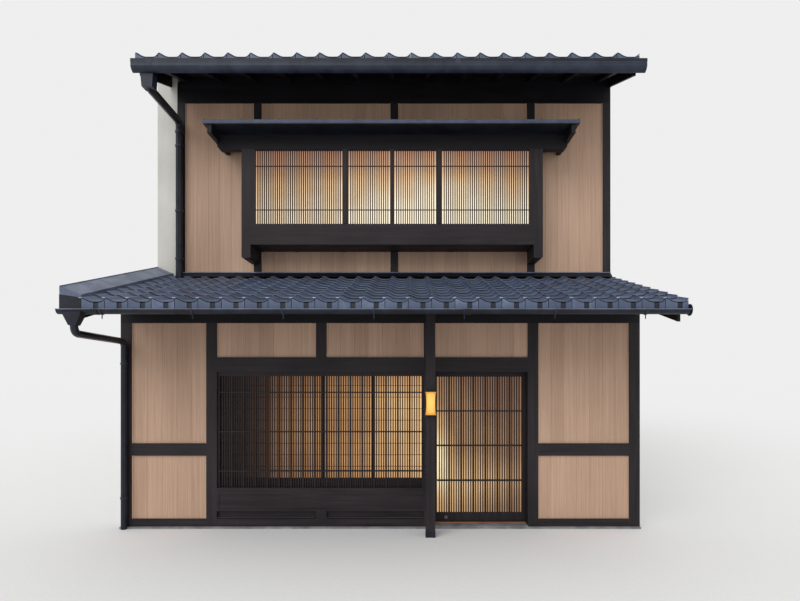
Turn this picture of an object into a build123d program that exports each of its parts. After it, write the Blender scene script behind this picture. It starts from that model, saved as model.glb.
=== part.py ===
from build123d import *

import os

# A narrow timber townhouse of two storeys in a row, in millimetres.
# The front faces -Y, +Z is up, and the origin is at ground level in the middle of the plan.

# Plan
house_width = 6036
upper_depth = 7380
setback = 910
left_wall_thickness = 262
right_wall_thickness = 125

# Ground storey heights
raft_height = 20
raft_edge = 6
floor_thickness = 8
sill_top = 105
lintel_bottom = 1814
lintel_top = 1985
rail_bottom = 841
rail_top = 983
wall_plate_bottom = 2384

# Ground storey timbers
post_depth = 120
corner_post_width = 125
bay_post_width = 124
left_bay_width = 869
right_bay_width = 1054
doorway_width = 1089
entry_inner_post_width = 120
strut_width = 122
head_panel_width = 1131
panel_thickness = 30
panel_recess = 26

# Entry post, which stands forward of the wall, and its lamp
entry_post_shift = 5
entry_post_width = 104
entry_post_forward = 360
lamp_width = 107
lamp_height = 249
lamp_depth = 80
lamp_bottom = 1350
lamp_waist = 7
lamp_cap_height = 12
lamp_cap_lap = 4

# Ground window
window_apron_bottom = 196
window_apron_top = 411
window_apron_recess = 6
window_lattice_bottom = 467
window_foot_rail_top = 570
window_head_rail = 48
vent_height = 86
vent_depth = 40
window_lattice_recess = 26
thick_bar_pitch = 136.6
bars_per_group = 5
thick_bar_width = 21
thick_bar_depth = 30
thin_bar_width = 13
thin_bar_depth = 18
rail_strip_height = 10
rail_strip_depth = 12
strip_clearance = 0.3
window_strips = (658, 1116, 1576)
lattice_edge = 25
screen_thickness = 14
screen_gap = 24

# Sliding door
door_top = 1850
door_lap = 28
door_thickness = 36
door_setback = 24
door_stile = 69
door_bottom_rail = 99
door_lattice_top = 1758
door_strips = (527, 942, 1352)
door_panel_thickness = 6
threshold_height = 12
threshold_forward = 20
floor_rail_height = 5
floor_rail_width = 8
roller_radius = 18
roller_inset = 103
roller_width = 14
roller_clearance = 0.3
roller_side_gap = 0.3
roller_slot_margin = 3
door_floor_gap = 12
track_height = 50
track_groove_width = 20
track_groove_depth = 26
tongue_width = 13
tongue_height = 18
track_wall = 20
tongue_clearance = 6
lock_radius = 17
lock_height = 45
lock_offset = 105
lock_depth = 7
lock_sides = 24

# Pent roof
pent_eave_out = 1085
pent_eave_top = 2500
pent_slope = 0.286
roof_bed = 20
roof_slab_depth = 60
rafter_width = 60
pent_rafter_height = 60
pent_rafter_out = 930
rafter_pitch = 455
verge_thickness = 30
pent_verge_depth = 150
fascia_thickness = 18
half_gutter_radius = 46
gutter_wall = 3
half_gutter_out = 1100
half_gutter_drop = 6
half_gutter_sides = 16
hanger_width = 22
hanger_thickness = 3
hanger_pitch = 840

# Sheet-metal capping over the left edge of the pent roofs
pent_cap_width = 210
pent_cap_inner = 75
pent_cap_outer = 160

# Upper storey
upper_floor_bottom = 2950
upper_panel_bottom = 3140
upper_plate_bottom = 5400
upper_post_depth = 105
upper_post_width = 102
upper_left_bay = 918
upper_right_bay = 906
upper_panel_thickness = 35
upper_panel_recess = 22
floor_plank = 40

# Upper bay window
bay_projection = 400
bay_left_lap = 38
bay_right_lap = 8
bay_cheek = 113
bay_cheek_bottom = 3247
bay_cheek_corner = 22
bay_base_bottom = 3417
bay_lattice_bottom = 3678
bay_lattice_top = 4618
bay_head_top = 4802
bay_stile = 60
bay_mullion_spacing = 590
bay_middle_mullion = 54
bay_side_mullion = 76
bay_strips = (3862, 4415)
bay_bar_pitch = 27.4
bay_bar_width = 13
bay_roof_side = 372
bay_roof_out = 690
bay_roof_edge = 4850
bay_roof_slope = 0.2
bay_beam_inset = 66
bay_beam_chamfer = 30
bay_verge_inset = 44
bay_verge_width = 50
bay_verge_setback = 15
bay_verge_bottom = 4700

# Upper roof
eave_out = 910
eave_top = 5500
upper_slope = 0.36
upper_roof_bed = 50
upper_slab_depth = 30
upper_rafter_height = 75
upper_rafter_out = 800
roof_left_inset = 166
upper_verge_depth = 140
ridge_width = 220
ridge_height = 190
ridge_cap_radius = 75
ridge_shoulder = 77
ridge_beam_width = 120
ridge_beam_height = 180
box_gutter_left_lap = 9
box_gutter_right_lap = 49
box_gutter_bottom = 5275
box_gutter_back = 5345
box_gutter_top = 5410
box_gutter_depth = 178
box_gutter_foot = 118
box_gutter_belly = 14
box_gutter_shoulder = 5330

# Rainwater pipes
upper_pipe_radius = 48
pent_pipe_radius = 36
pipe_wall = 3
pipe_stand_off = 6
pipe_sides = 8
pipe_bend = 70
pipe_outlet = 75
pipe_fall = 20
upper_hopper_width = 150
upper_hopper_height = 60
pent_hopper_width = 190
pent_hopper_depth = 106
pent_hopper_height = 130
pent_hopper_shift = 90

# Rear openings
rear_bays = 4
rear_window_sill = 841
upper_window_sill = 3900
upper_window_head = 4900
upper_window_beam = 105
window_frame_width = 45
window_frame_depth = 60
glass_thickness = 6

# Derived places
x_left = -house_width / 2
x_right = house_width / 2
inner_left = x_left + left_wall_thickness
inner_right = x_right - right_wall_thickness
y_upper = upper_depth / 2
y_ground = y_upper + setback
ground_inner = y_ground - post_depth
upper_inner = y_upper - upper_post_depth
floor_top = raft_height + floor_thickness
roof_left = x_left + roof_left_inset
box_gutter_left = roof_left - box_gutter_left_lap
box_gutter_right = x_right + box_gutter_right_lap
front = -1
rear = 1


def pent_tiles(y):
    """Height of the pent roof's tiles at a distance y from the middle of the plan."""
    return pent_eave_top + pent_slope * (y_ground + pent_eave_out - y)


def upper_tiles(y):
    """Height of the upper roof's tiles at a distance y from the middle of the plan."""
    return eave_top + upper_slope * (y_upper + eave_out - y)


def pent_bed(y):
    """Upper face of the pent roof's slab, on which the tiles lie."""
    return pent_tiles(y) - roof_bed


def upper_bed(y):
    """Upper face of the upper roof's slab, on which the tiles lie."""
    return upper_tiles(y) - upper_roof_bed


def pent_deck(y):
    """Underside of the pent roof's deck, which lies on its rafters."""
    return pent_bed(y) - roof_slab_depth


def upper_deck(y):
    """Underside of the upper roof's deck, which lies on its rafters."""
    return upper_bed(y) - upper_slab_depth


def block(x0, x1, y0, y1, z0, z1, mode=Mode.ADD):
    """A square-edged piece of timber or stone between pairs of limits."""
    with Locations((x0, y0, z0)):
        Box(x1 - x0, y1 - y0, z1 - z0, align=(Align.MIN, Align.MIN, Align.MIN), mode=mode)


def slice_x(x0, x1, points, mode=Mode.ADD):
    """A piece with one section, drawn as (y, z) points, from x0 to x1."""
    with BuildSketch(Plane.YZ.offset(x0)) as section:
        with BuildLine():
            Polyline(*points, close=True)
        make_face()
    extrude(section.sketch, amount=x1 - x0, mode=mode)


def save(piece, name):
    """Labels a finished piece and writes it."""
    piece.part.label = name
    export_step(piece.part, f"parts/{name}.step")


def spaced(first, last, pitch):
    """Places from first to last at the whole number of steps nearest to the pitch."""
    steps = max(1, round((last - first) / pitch))
    return [first + (last - first) * i / steps for i in range(steps + 1)]


os.makedirs("parts", exist_ok=True)

# Foundation and floors
with BuildPart() as foundation:
    block(x_left, x_right, -y_ground - raft_edge, y_ground + raft_edge, 0, raft_height)
save(foundation, "foundation")

with BuildPart() as ground_floor:
    block(inner_left, inner_right, -ground_inner, ground_inner, raft_height, floor_top)
save(ground_floor, "ground_floor")

with BuildPart() as upper_floor:
    block(inner_left, inner_right, -upper_inner, upper_inner,
          upper_panel_bottom - floor_plank, upper_panel_bottom)
save(upper_floor, "upper_floor")


def party_wall(x0, x1, upper_end):
    """A party wall whose shoulders carry the pent roofs and whose gable carries the upper roof."""
    half = [
        (ground_inner, raft_height),
        (ground_inner, pent_deck(ground_inner)),
        (y_upper, pent_deck(y_upper)),
    ]
    if upper_end < y_upper:
        half += [(y_upper, upper_floor_bottom), (upper_end, upper_floor_bottom)]
    half += [(upper_end, upper_deck(upper_end))]
    mirrored = [(-y, z) for y, z in half]
    slice_x(x0, x1, half + [(0, upper_deck(0))] + mirrored[::-1])


with BuildPart() as party_wall_left:
    party_wall(x_left, inner_left, y_upper)
save(party_wall_left, "party_wall_left")

with BuildPart() as party_wall_right:
    party_wall(inner_right, x_right, upper_inner)
save(party_wall_right, "party_wall_right")

# Ground storey front frame
left_corner = (x_left, x_left + corner_post_width)
right_corner = (x_right - corner_post_width, x_right)
bay_post = (left_corner[1] + left_bay_width, left_corner[1] + left_bay_width + bay_post_width)
door_post = (right_corner[0] - right_bay_width - bay_post_width, right_corner[0] - right_bay_width)
inner_post = (door_post[0] - doorway_width - entry_inner_post_width, door_post[0] - doorway_width)
strut = (inner_post[0] - head_panel_width - strut_width, inner_post[0] - head_panel_width)
entry_post_x = (inner_post[0] + inner_post[1]) / 2 + entry_post_shift

with BuildPart() as front_posts:
    for x0, x1 in (left_corner, bay_post, door_post, right_corner):
        block(x0, x1, -y_ground, -ground_inner, raft_height, wall_plate_bottom)
    block(*inner_post, -y_ground, -ground_inner, raft_height, lintel_bottom)
    for x0, x1 in (strut, inner_post):
        block(x0, x1, -y_ground, -ground_inner, lintel_top, wall_plate_bottom)
save(front_posts, "front_posts")

with BuildPart() as front_sills:
    block(left_corner[1], bay_post[0], -y_ground, -ground_inner, raft_height, sill_top)
    block(door_post[1], right_corner[0], -y_ground, -ground_inner, raft_height, sill_top)
save(front_sills, "front_sills")

with BuildPart() as front_lintel:
    block(bay_post[1], door_post[0], -y_ground, -ground_inner, lintel_bottom, lintel_top)
save(front_lintel, "front_lintel")

with BuildPart() as front_rails:
    block(left_corner[1], bay_post[0], -y_ground, -ground_inner, rail_bottom, rail_top)
    block(door_post[1], right_corner[0], -y_ground, -ground_inner, rail_bottom, rail_top)
save(front_rails, "front_rails")

panel_front = -y_ground + panel_recess
panel_back = panel_front + panel_thickness

with BuildPart() as front_panels:
    for x0, x1 in ((left_corner[1], bay_post[0]), (door_post[1], right_corner[0])):
        block(x0, x1, panel_front, panel_back, sill_top, rail_bottom)
        block(x0, x1, panel_front, panel_back, rail_top, wall_plate_bottom)
    for x0, x1 in ((bay_post[1], strut[0]), (strut[1], inner_post[0]), (inner_post[1], door_post[0])):
        block(x0, x1, panel_front, panel_back, lintel_top, wall_plate_bottom)
save(front_panels, "front_panels")


def pent_plate(side):
    """The beam on the ground posts, its top cut to the slope of the rafters on it."""
    slice_x(x_left, x_right, [
        (side * y_ground, wall_plate_bottom),
        (side * y_ground, pent_deck(y_ground) - pent_rafter_height),
        (side * ground_inner, pent_deck(ground_inner) - pent_rafter_height),
        (side * ground_inner, wall_plate_bottom),
    ])


with BuildPart() as front_wall_plate:
    pent_plate(front)
save(front_wall_plate, "front_wall_plate")

# Entry post and its lamp
post_front = -y_ground - entry_post_forward
post_back = post_front + entry_post_width
entry_post_left = entry_post_x - entry_post_width / 2

with BuildPart() as entry_post:
    slice_x(entry_post_left, entry_post_left + entry_post_width, [
        (post_front, 0),
        (post_back, 0),
        (post_back, pent_deck(-post_back) - pent_rafter_height),
        (post_front, pent_deck(-post_front) - pent_rafter_height),
    ])
save(entry_post, "entry_post")

with BuildPart() as entry_lamp:
    with BuildSketch(Plane.XZ.offset(-post_front)) as lamp_outline:
        with BuildLine():
            z0 = lamp_bottom
            z1 = lamp_bottom + lamp_height
            half_lamp = lamp_width / 2
            Line((entry_post_x - half_lamp, z0), (entry_post_x + half_lamp, z0))
            ThreePointArc(
                (entry_post_x + half_lamp, z0),
                (entry_post_x + half_lamp - lamp_waist, (z0 + z1) / 2),
                (entry_post_x + half_lamp, z1),
            )
            Line((entry_post_x + half_lamp, z1), (entry_post_x - half_lamp, z1))
            ThreePointArc(
                (entry_post_x - half_lamp, z1),
                (entry_post_x - half_lamp + lamp_waist, (z0 + z1) / 2),
                (entry_post_x - half_lamp, z0),
            )
        make_face()
    extrude(amount=lamp_depth)
    cap_left = entry_post_x - half_lamp - lamp_cap_lap
    cap_right = entry_post_x + half_lamp + lamp_cap_lap
    for bottom in (z0, z1 - lamp_cap_height):
        block(cap_left, cap_right, post_front - lamp_depth - lamp_cap_lap, post_front,
              bottom, bottom + lamp_cap_height)
save(entry_lamp, "entry_lamp")

# Ground window: vented base, apron board and latticework in front of a paper screen
window = (bay_post[1], inner_post[0])
window_vents = ((window[0], strut[0]), (strut[1], window[1]))

with BuildPart() as window_base:
    block(*window, -y_ground, -ground_inner, raft_height, window_lattice_bottom)
    block(window[0] + lattice_edge, window[1] - lattice_edge, -y_ground,
          -y_ground + window_apron_recess, window_apron_bottom + lattice_edge, window_apron_top,
          mode=Mode.SUBTRACT)
    for x0, x1 in window_vents:
        block(x0, x1, -y_ground, -y_ground + vent_depth,
              window_apron_bottom - vent_height, window_apron_bottom, mode=Mode.SUBTRACT)
save(window_base, "window_base")


def bar_grid(x0, x1, z0, z1, y, count, thick_every, width, strips):
    """Upright bars from x0 to x1 with flat strips behind them at y.

    Every bar is nailed to the middle strip. The others stand a hair behind the thin bars and are
    nailed to the thick bars, which are the deeper ones, and to the uprights at the ends.
    """
    step = (x1 - x0) / count
    with BuildSketch(Plane.XY.offset(z0)) as plan:
        for i in range(1, count):
            if thick_every and i % thick_every == 0:
                with Locations((x0 + i * step, y - (thick_bar_depth - strip_clearance) / 2)):
                    Rectangle(thick_bar_width, thick_bar_depth + strip_clearance)
            else:
                with Locations((x0 + i * step, y - thin_bar_depth / 2)):
                    Rectangle(width, thin_bar_depth)
    extrude(plan.sketch, amount=z1 - z0)
    middle = len(strips) // 2
    for i, z in enumerate(strips):
        gap = 0 if i == middle else strip_clearance
        block(x0, x1, y + gap, y + rail_strip_depth, z - rail_strip_height / 2,
              z + rail_strip_height / 2)


window_plane = -y_ground + window_lattice_recess + thick_bar_depth
window_groups = round((window[1] - window[0] - 2 * lattice_edge) / thick_bar_pitch)

with BuildPart() as window_lattice:
    for x0, x1 in ((window[0], window[0] + lattice_edge), (window[1] - lattice_edge, window[1])):
        block(x0, x1, window_plane - thick_bar_depth, window_plane + rail_strip_depth,
              window_lattice_bottom, lintel_bottom)
    bar_grid(window[0] + lattice_edge, window[1] - lattice_edge, window_lattice_bottom,
             lintel_bottom, window_plane, window_groups * bars_per_group, bars_per_group,
             thin_bar_width, window_strips)
    block(window[0], window[1], window_plane - thick_bar_depth, window_plane + rail_strip_depth,
          lintel_bottom - window_head_rail, lintel_bottom)
    block(window[0], window[1], window_plane + strip_clearance, window_plane + rail_strip_depth,
          window_lattice_bottom, window_foot_rail_top)
save(window_lattice, "window_lattice")

screen_front = window_plane + rail_strip_depth + screen_gap
with BuildPart() as window_screen:
    block(*window, screen_front, screen_front + screen_thickness,
          window_lattice_bottom, lintel_bottom)
save(window_screen, "window_screen")

# Entrance: threshold stone, tracks and the sliding door
doorway = (inner_post[1], door_post[0])
door_front = -ground_inner + door_setback
door_back = door_front + door_thickness
door_middle = (door_front + door_back) / 2
threshold_top = raft_height + threshold_height
door_bottom = threshold_top + door_floor_gap
rail_end = inner_right
door_left = doorway[0] - door_lap
door_right = doorway[1] + door_lap

with BuildPart() as threshold:
    block(*doorway, -y_ground - threshold_forward, -ground_inner, raft_height, threshold_top)
    block(*doorway, -y_ground - threshold_forward, -y_ground - raft_edge, 0, raft_height)
save(threshold, "threshold")

with BuildPart() as door_tracks:
    block(door_left, rail_end, door_middle - floor_rail_width / 2, door_middle + floor_rail_width / 2,
          floor_top, threshold_top + floor_rail_height)
    track_bottom = door_top + tongue_clearance
    track_half = track_groove_width / 2 + track_wall
    block(door_left, rail_end, -ground_inner, door_middle + track_half,
          track_bottom, track_bottom + track_height)
    block(door_left, rail_end, door_middle - track_groove_width / 2,
          door_middle + track_groove_width / 2, track_bottom,
          track_bottom + track_groove_depth, mode=Mode.SUBTRACT)
save(door_tracks, "door_tracks")

lattice_x = (door_left + door_stile, door_right - door_stile)
lattice_z = (door_bottom + door_bottom_rail, door_lattice_top)
panel_y = door_back - door_panel_thickness
bar_y = panel_y - rail_strip_depth
roller_xs = (door_left + roller_inset, door_right - roller_inset)
roller_z = threshold_top + floor_rail_height + roller_radius + roller_clearance

with BuildPart() as door_frame:
    block(door_left, door_right, door_front, door_back, door_bottom, door_top)
    block(*lattice_x, door_front, door_back, *lattice_z, mode=Mode.SUBTRACT)
    block(door_left, door_right, door_middle - tongue_width / 2, door_middle + tongue_width / 2,
          door_top, door_top + tongue_height)
    for x in roller_xs:
        slot = roller_radius + roller_slot_margin
        block(x - slot, x + slot, door_middle - roller_width / 2, door_middle + roller_width / 2,
              door_bottom, roller_z + slot, mode=Mode.SUBTRACT)
save(door_frame, "door_frame")

door_groups = round((lattice_x[1] - lattice_x[0]) / thick_bar_pitch)
with BuildPart() as door_lattice:
    bar_grid(*lattice_x, *lattice_z, bar_y, door_groups * bars_per_group, bars_per_group,
             thin_bar_width, door_strips)
save(door_lattice, "door_lattice")

with BuildPart() as door_screen:
    block(*lattice_x, panel_y, door_back, *lattice_z)
save(door_screen, "door_screen")

with BuildPart() as door_rollers:
    for x in roller_xs:
        with BuildSketch(Plane.XZ.offset(-door_middle - roller_width / 2 + roller_side_gap)) as wheel:
            with Locations((x, roller_z)):
                Circle(roller_radius)
        extrude(wheel.sketch, amount=roller_width - 2 * roller_side_gap)
save(door_rollers, "door_rollers")

with BuildPart() as door_lock:
    with BuildSketch(Plane.XZ.offset(-door_front)) as rose:
        with Locations((door_left + door_stile + lock_offset, door_bottom + lock_height)):
            RegularPolygon(lock_radius, lock_sides)
    extrude(rose.sketch, amount=lock_depth)
save(door_lock, "door_lock")


# Pent roofs at the front and the rear
def pent_slab(side):
    """The tiled slab of a pent roof, from its eave up to the upper wall."""
    eave = y_ground + pent_eave_out
    slice_x(x_left, x_right, [
        (side * eave, pent_deck(eave)),
        (side * eave, pent_bed(eave)),
        (side * y_upper, pent_bed(y_upper)),
        (side * y_upper, pent_deck(y_upper)),
    ])


with BuildPart() as pent_roof_front:
    pent_slab(front)
save(pent_roof_front, "pent_roof_front")

with BuildPart() as pent_roof_rear:
    pent_slab(rear)
save(pent_roof_rear, "pent_roof_rear")

with BuildPart() as pent_cappings:
    eave = y_ground + pent_eave_out
    for side in (front, rear):
        with BuildSketch(Plane.XZ.offset(-side * eave)) as hood:
            with BuildLine():
                Polyline(
                    (x_left, pent_bed(eave)),
                    (x_left + pent_cap_width, pent_bed(eave)),
                    (x_left + pent_cap_width, pent_bed(eave) + pent_cap_inner),
                    (x_left, pent_bed(eave) + pent_cap_outer),
                    close=True,
                )
            make_face()
        up_slope = Vector(0, side * (y_upper - eave), pent_bed(y_upper) - pent_bed(eave))
        extrude(hood.sketch, amount=up_slope.length, dir=up_slope)
save(pent_cappings, "pent_cappings")


def rafter_places(x0, x1):
    """Rafter centres at an even pitch, one of them over the entry post."""
    first = x0 + rafter_width / 2
    last = x1 - rafter_width / 2
    before = int((entry_post_x - first) // rafter_pitch)
    after = int((last - entry_post_x) // rafter_pitch)
    return [entry_post_x + i * rafter_pitch for i in range(-before, after + 1)]


pent_rafter_end = y_ground + pent_rafter_out
with BuildPart() as pent_rafters:
    for side in (front, rear):
        for x in rafter_places(inner_left, inner_right):
            slice_x(x - rafter_width / 2, x + rafter_width / 2, [
                (side * pent_rafter_end, pent_deck(pent_rafter_end) - pent_rafter_height),
                (side * pent_rafter_end, pent_deck(pent_rafter_end)),
                (side * y_upper, pent_deck(y_upper)),
                (side * y_upper, pent_deck(y_upper) - pent_rafter_height),
            ])
save(pent_rafters, "pent_rafters")


half_gutter_rim = pent_deck(y_ground + pent_eave_out) - half_gutter_drop


def half_round(side, x, outer, inner):
    """Lower half of a ring about the gutter's axis, as a sketch at x; a disc if inner is 0."""
    with BuildSketch(Plane.YZ.offset(x)) as section:
        with Locations((side * (y_ground + half_gutter_out), half_gutter_rim)):
            RegularPolygon(outer, half_gutter_sides)
            if inner:
                RegularPolygon(inner, half_gutter_sides, mode=Mode.SUBTRACT)
            with Locations((0, outer)):
                Rectangle(4 * outer, 2 * outer, mode=Mode.SUBTRACT)
    return section.sketch


def half_gutter(side):
    """A half-round gutter with closed ends, held by straps from the fascia."""
    radius = half_gutter_radius
    extrude(half_round(side, x_left, radius, radius - gutter_wall), amount=house_width)
    for x in (x_left, x_right - gutter_wall):
        extrude(half_round(side, x, radius, 0), amount=gutter_wall)
    fascia_face = pent_rafter_end + fascia_thickness
    gutter_back = y_ground + half_gutter_out - radius
    y0 = min(side * fascia_face, side * gutter_back)
    y1 = max(side * fascia_face, side * gutter_back)
    for x in spaced(x_left + hanger_pitch / 2, x_right - hanger_pitch / 2, hanger_pitch):
        left = x - hanger_width / 2
        extrude(half_round(side, left, radius + hanger_thickness, radius), amount=hanger_width)
        block(left, left + hanger_width, y0, y1, half_gutter_rim - hanger_thickness, half_gutter_rim)


with BuildPart() as pent_gutter_front:
    half_gutter(front)
save(pent_gutter_front, "pent_gutter_front")

with BuildPart() as pent_gutter_rear:
    half_gutter(rear)
save(pent_gutter_rear, "pent_gutter_rear")

# Upper storey front
upper_left_post = (inner_left, inner_left + upper_post_width)
upper_right_post = (x_right - upper_post_width, x_right)
side_post_left = upper_left_post[1] + upper_left_bay
side_post_right = upper_right_post[0] - upper_right_bay - upper_post_width
upper_posts_x = [
    (x, x + upper_post_width)
    for x in (side_post_left, (side_post_left + side_post_right) / 2, side_post_right)
]


def upper_beams(side):
    """The beam under the upper panels and the plate that carries the rafters."""
    y0 = min(side * y_upper, side * upper_inner)
    block(inner_left, x_right, y0, y0 + upper_post_depth, upper_floor_bottom, upper_panel_bottom)
    slice_x(inner_left, x_right, [
        (side * y_upper, upper_plate_bottom),
        (side * y_upper, upper_deck(y_upper) - upper_rafter_height),
        (side * upper_inner, upper_deck(upper_inner) - upper_rafter_height),
        (side * upper_inner, upper_plate_bottom),
    ])


with BuildPart() as upper_front_beams:
    upper_beams(front)
save(upper_front_beams, "upper_front_beams")

with BuildPart() as upper_front_posts:
    for x0, x1 in [upper_left_post, *upper_posts_x, upper_right_post]:
        block(x0, x1, -y_upper, -upper_inner, upper_panel_bottom, upper_plate_bottom)
save(upper_front_posts, "upper_front_posts")

upper_panel_front = -y_upper + upper_panel_recess
upper_panel_back = upper_panel_front + upper_panel_thickness
with BuildPart() as upper_front_panels:
    bays = [upper_left_post, *upper_posts_x, upper_right_post]
    for i in range(len(bays) - 1):
        x0 = bays[i][1]
        x1 = bays[i + 1][0]
        behind_bay = i in (1, 2)
        if behind_bay:
            block(x0, x1, upper_panel_front, upper_panel_back, upper_panel_bottom, bay_base_bottom)
            block(x0, x1, upper_panel_front, upper_panel_back, bay_head_top, upper_plate_bottom)
        else:
            block(x0, x1, upper_panel_front, upper_panel_back, upper_panel_bottom, upper_plate_bottom)
save(upper_front_panels, "upper_front_panels")

# Bay window on the upper storey
bay_face = y_upper + bay_projection
bay_left = upper_posts_x[0][0] - bay_left_lap
bay_right = upper_posts_x[2][1] + bay_right_lap
bay_inner = (bay_left + bay_cheek, bay_right - bay_cheek)
bay_middle = (bay_inner[0] + bay_inner[1]) / 2
bay_mullions = [
    (bay_middle - bay_mullion_spacing, bay_side_mullion),
    (bay_middle, bay_middle_mullion),
    (bay_middle + bay_mullion_spacing, bay_side_mullion),
]

bay_roof_x = (bay_left - bay_roof_side, bay_right + bay_roof_side)
bay_beam = (bay_roof_x[0] + bay_beam_inset, bay_roof_x[1] - bay_beam_inset, -bay_face,
            -bay_face + upper_post_depth, bay_lattice_top, bay_head_top)

with BuildPart() as bay_cheeks:
    for x0 in (bay_left, bay_right - bay_cheek):
        block(x0, x0 + bay_cheek, -bay_face, -y_upper, bay_cheek_bottom, bay_head_top)
    block(*bay_beam, mode=Mode.SUBTRACT)
    fillet(bay_cheeks.edges().filter_by(Axis.Y).group_by(Axis.Z)[0], radius=bay_cheek_corner)
save(bay_cheeks, "bay_cheeks")

with BuildPart() as bay_base:
    block(*bay_inner, -bay_face, -bay_face + upper_post_depth, bay_base_bottom, bay_lattice_bottom)
    block(*bay_inner, -bay_face + upper_post_depth, -y_upper, bay_base_bottom,
          bay_base_bottom + floor_plank)
save(bay_base, "bay_base")

with BuildPart() as bay_head:
    block(*bay_beam)
    chamfer(bay_head.edges().filter_by(Axis.Y).group_by(Axis.Z)[0], length=bay_beam_chamfer)
save(bay_head, "bay_head")

bay_plane = -bay_face + thick_bar_depth
with BuildPart() as bay_lattice:
    uprights = [(bay_inner[0], bay_inner[0] + bay_stile), (bay_inner[1] - bay_stile, bay_inner[1])]
    uprights += [(x - width / 2, x + width / 2) for x, width in bay_mullions]
    for x0, x1 in uprights:
        block(x0, x1, -bay_face, bay_plane + rail_strip_depth, bay_lattice_bottom, bay_lattice_top)
    starts = [bay_inner[0] + bay_stile] + [x + width / 2 for x, width in bay_mullions]
    ends = [x - width / 2 for x, width in bay_mullions] + [bay_inner[1] - bay_stile]
    for x0, x1 in zip(starts, ends):
        bar_grid(x0, x1, bay_lattice_bottom, bay_lattice_top, bay_plane,
                 round((x1 - x0) / bay_bar_pitch), 0, bay_bar_width, bay_strips)
save(bay_lattice, "bay_lattice")

bay_screen_front = bay_plane + rail_strip_depth + screen_gap
with BuildPart() as bay_screen:
    block(*bay_inner, bay_screen_front, bay_screen_front + screen_thickness,
          bay_lattice_bottom, bay_lattice_top)
save(bay_screen, "bay_screen")

with BuildPart() as bay_roof:
    slice_x(*bay_roof_x, [
        (-y_upper - bay_roof_out, bay_head_top),
        (-y_upper - bay_roof_out, bay_roof_edge),
        (-y_upper, bay_roof_edge + bay_roof_slope * bay_roof_out),
        (-y_upper, bay_head_top),
    ])
save(bay_roof, "bay_roof")

with BuildPart() as bay_verge_boards:
    for x0 in (bay_roof_x[0] + bay_verge_inset,
               bay_roof_x[1] - bay_verge_inset - bay_verge_width):
        block(x0, x0 + bay_verge_width, -y_upper - bay_roof_out + bay_verge_setback, -y_upper,
              bay_verge_bottom, bay_head_top)
    block(*bay_beam, mode=Mode.SUBTRACT)
save(bay_verge_boards, "bay_verge_boards")


# Upper roof
def upper_slab(side):
    """One tiled slope of the upper roof, from its eave to the ridge."""
    eave = y_upper + eave_out
    slice_x(roof_left, x_right, [
        (side * eave, upper_deck(eave)),
        (side * eave, upper_bed(eave)),
        (0, upper_bed(0)),
        (0, upper_deck(0)),
    ])


with BuildPart() as upper_roof_front:
    upper_slab(front)
save(upper_roof_front, "upper_roof_front")

with BuildPart() as upper_roof_rear:
    upper_slab(rear)
save(upper_roof_rear, "upper_roof_rear")

with BuildPart() as roof_ridge:
    top = upper_tiles(0) + ridge_height - ridge_cap_radius
    half_ridge = ridge_width / 2
    slice_x(roof_left, x_right, [
        (-half_ridge, upper_bed(half_ridge)),
        (-ridge_shoulder, top),
        (ridge_shoulder, top),
        (half_ridge, upper_bed(half_ridge)),
        (0, upper_bed(0)),
    ])
    with BuildSketch(Plane.YZ.offset(roof_left)) as round_cap:
        with Locations((0, top)):
            Circle(ridge_cap_radius)
            with Locations((0, -ridge_cap_radius)):
                Rectangle(4 * ridge_cap_radius, 2 * ridge_cap_radius, mode=Mode.SUBTRACT)
    extrude(round_cap.sketch, amount=x_right - roof_left)
save(roof_ridge, "roof_ridge")

with BuildPart() as ridge_beam:
    half_beam = ridge_beam_width / 2
    beam_top = upper_deck(half_beam)
    block(inner_left, inner_right, -half_beam, half_beam, beam_top - ridge_beam_height, beam_top)
save(ridge_beam, "ridge_beam")

upper_rafter_end = y_upper + upper_rafter_out
with BuildPart() as upper_rafters:
    for side in (front, rear):
        for x in rafter_places(inner_left, inner_right):
            slice_x(x - rafter_width / 2, x + rafter_width / 2, [
                (side * upper_rafter_end, upper_deck(upper_rafter_end) - upper_rafter_height),
                (side * upper_rafter_end, upper_deck(upper_rafter_end)),
                (side * half_beam, upper_deck(half_beam)),
                (side * half_beam, upper_deck(half_beam) - upper_rafter_height),
            ])
save(upper_rafters, "upper_rafters")

with BuildPart() as verge_boards:
    for side in (front, rear):
        for x0 in (x_left, x_right - verge_thickness):
            slice_x(x0, x0 + verge_thickness, [
                (side * pent_rafter_end, pent_deck(pent_rafter_end) - pent_verge_depth),
                (side * pent_rafter_end, pent_deck(pent_rafter_end)),
                (side * y_ground, pent_deck(y_ground)),
                (side * y_ground, pent_deck(y_ground) - pent_verge_depth),
            ])
        for x0 in (roof_left, x_right - verge_thickness):
            slice_x(x0, x0 + verge_thickness, [
                (side * upper_rafter_end, upper_deck(upper_rafter_end) - upper_verge_depth),
                (side * upper_rafter_end, upper_deck(upper_rafter_end)),
                (side * y_upper, upper_deck(y_upper)),
                (side * y_upper, upper_deck(y_upper) - upper_verge_depth),
            ])
save(verge_boards, "verge_boards")

with BuildPart() as fascias:
    for side in (front, rear):
        y0 = min(side * pent_rafter_end, side * (pent_rafter_end + fascia_thickness))
        fascia_top = pent_deck(pent_rafter_end + fascia_thickness)
        block(x_left, x_right, y0, y0 + fascia_thickness,
              fascia_top - pent_rafter_height, fascia_top)
        y0 = min(side * upper_rafter_end, side * (upper_rafter_end + fascia_thickness))
        fascia_top = upper_deck(upper_rafter_end + fascia_thickness)
        block(roof_left, x_right, y0, y0 + fascia_thickness, box_gutter_back + gutter_wall, fascia_top)
save(fascias, "fascias")


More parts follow.
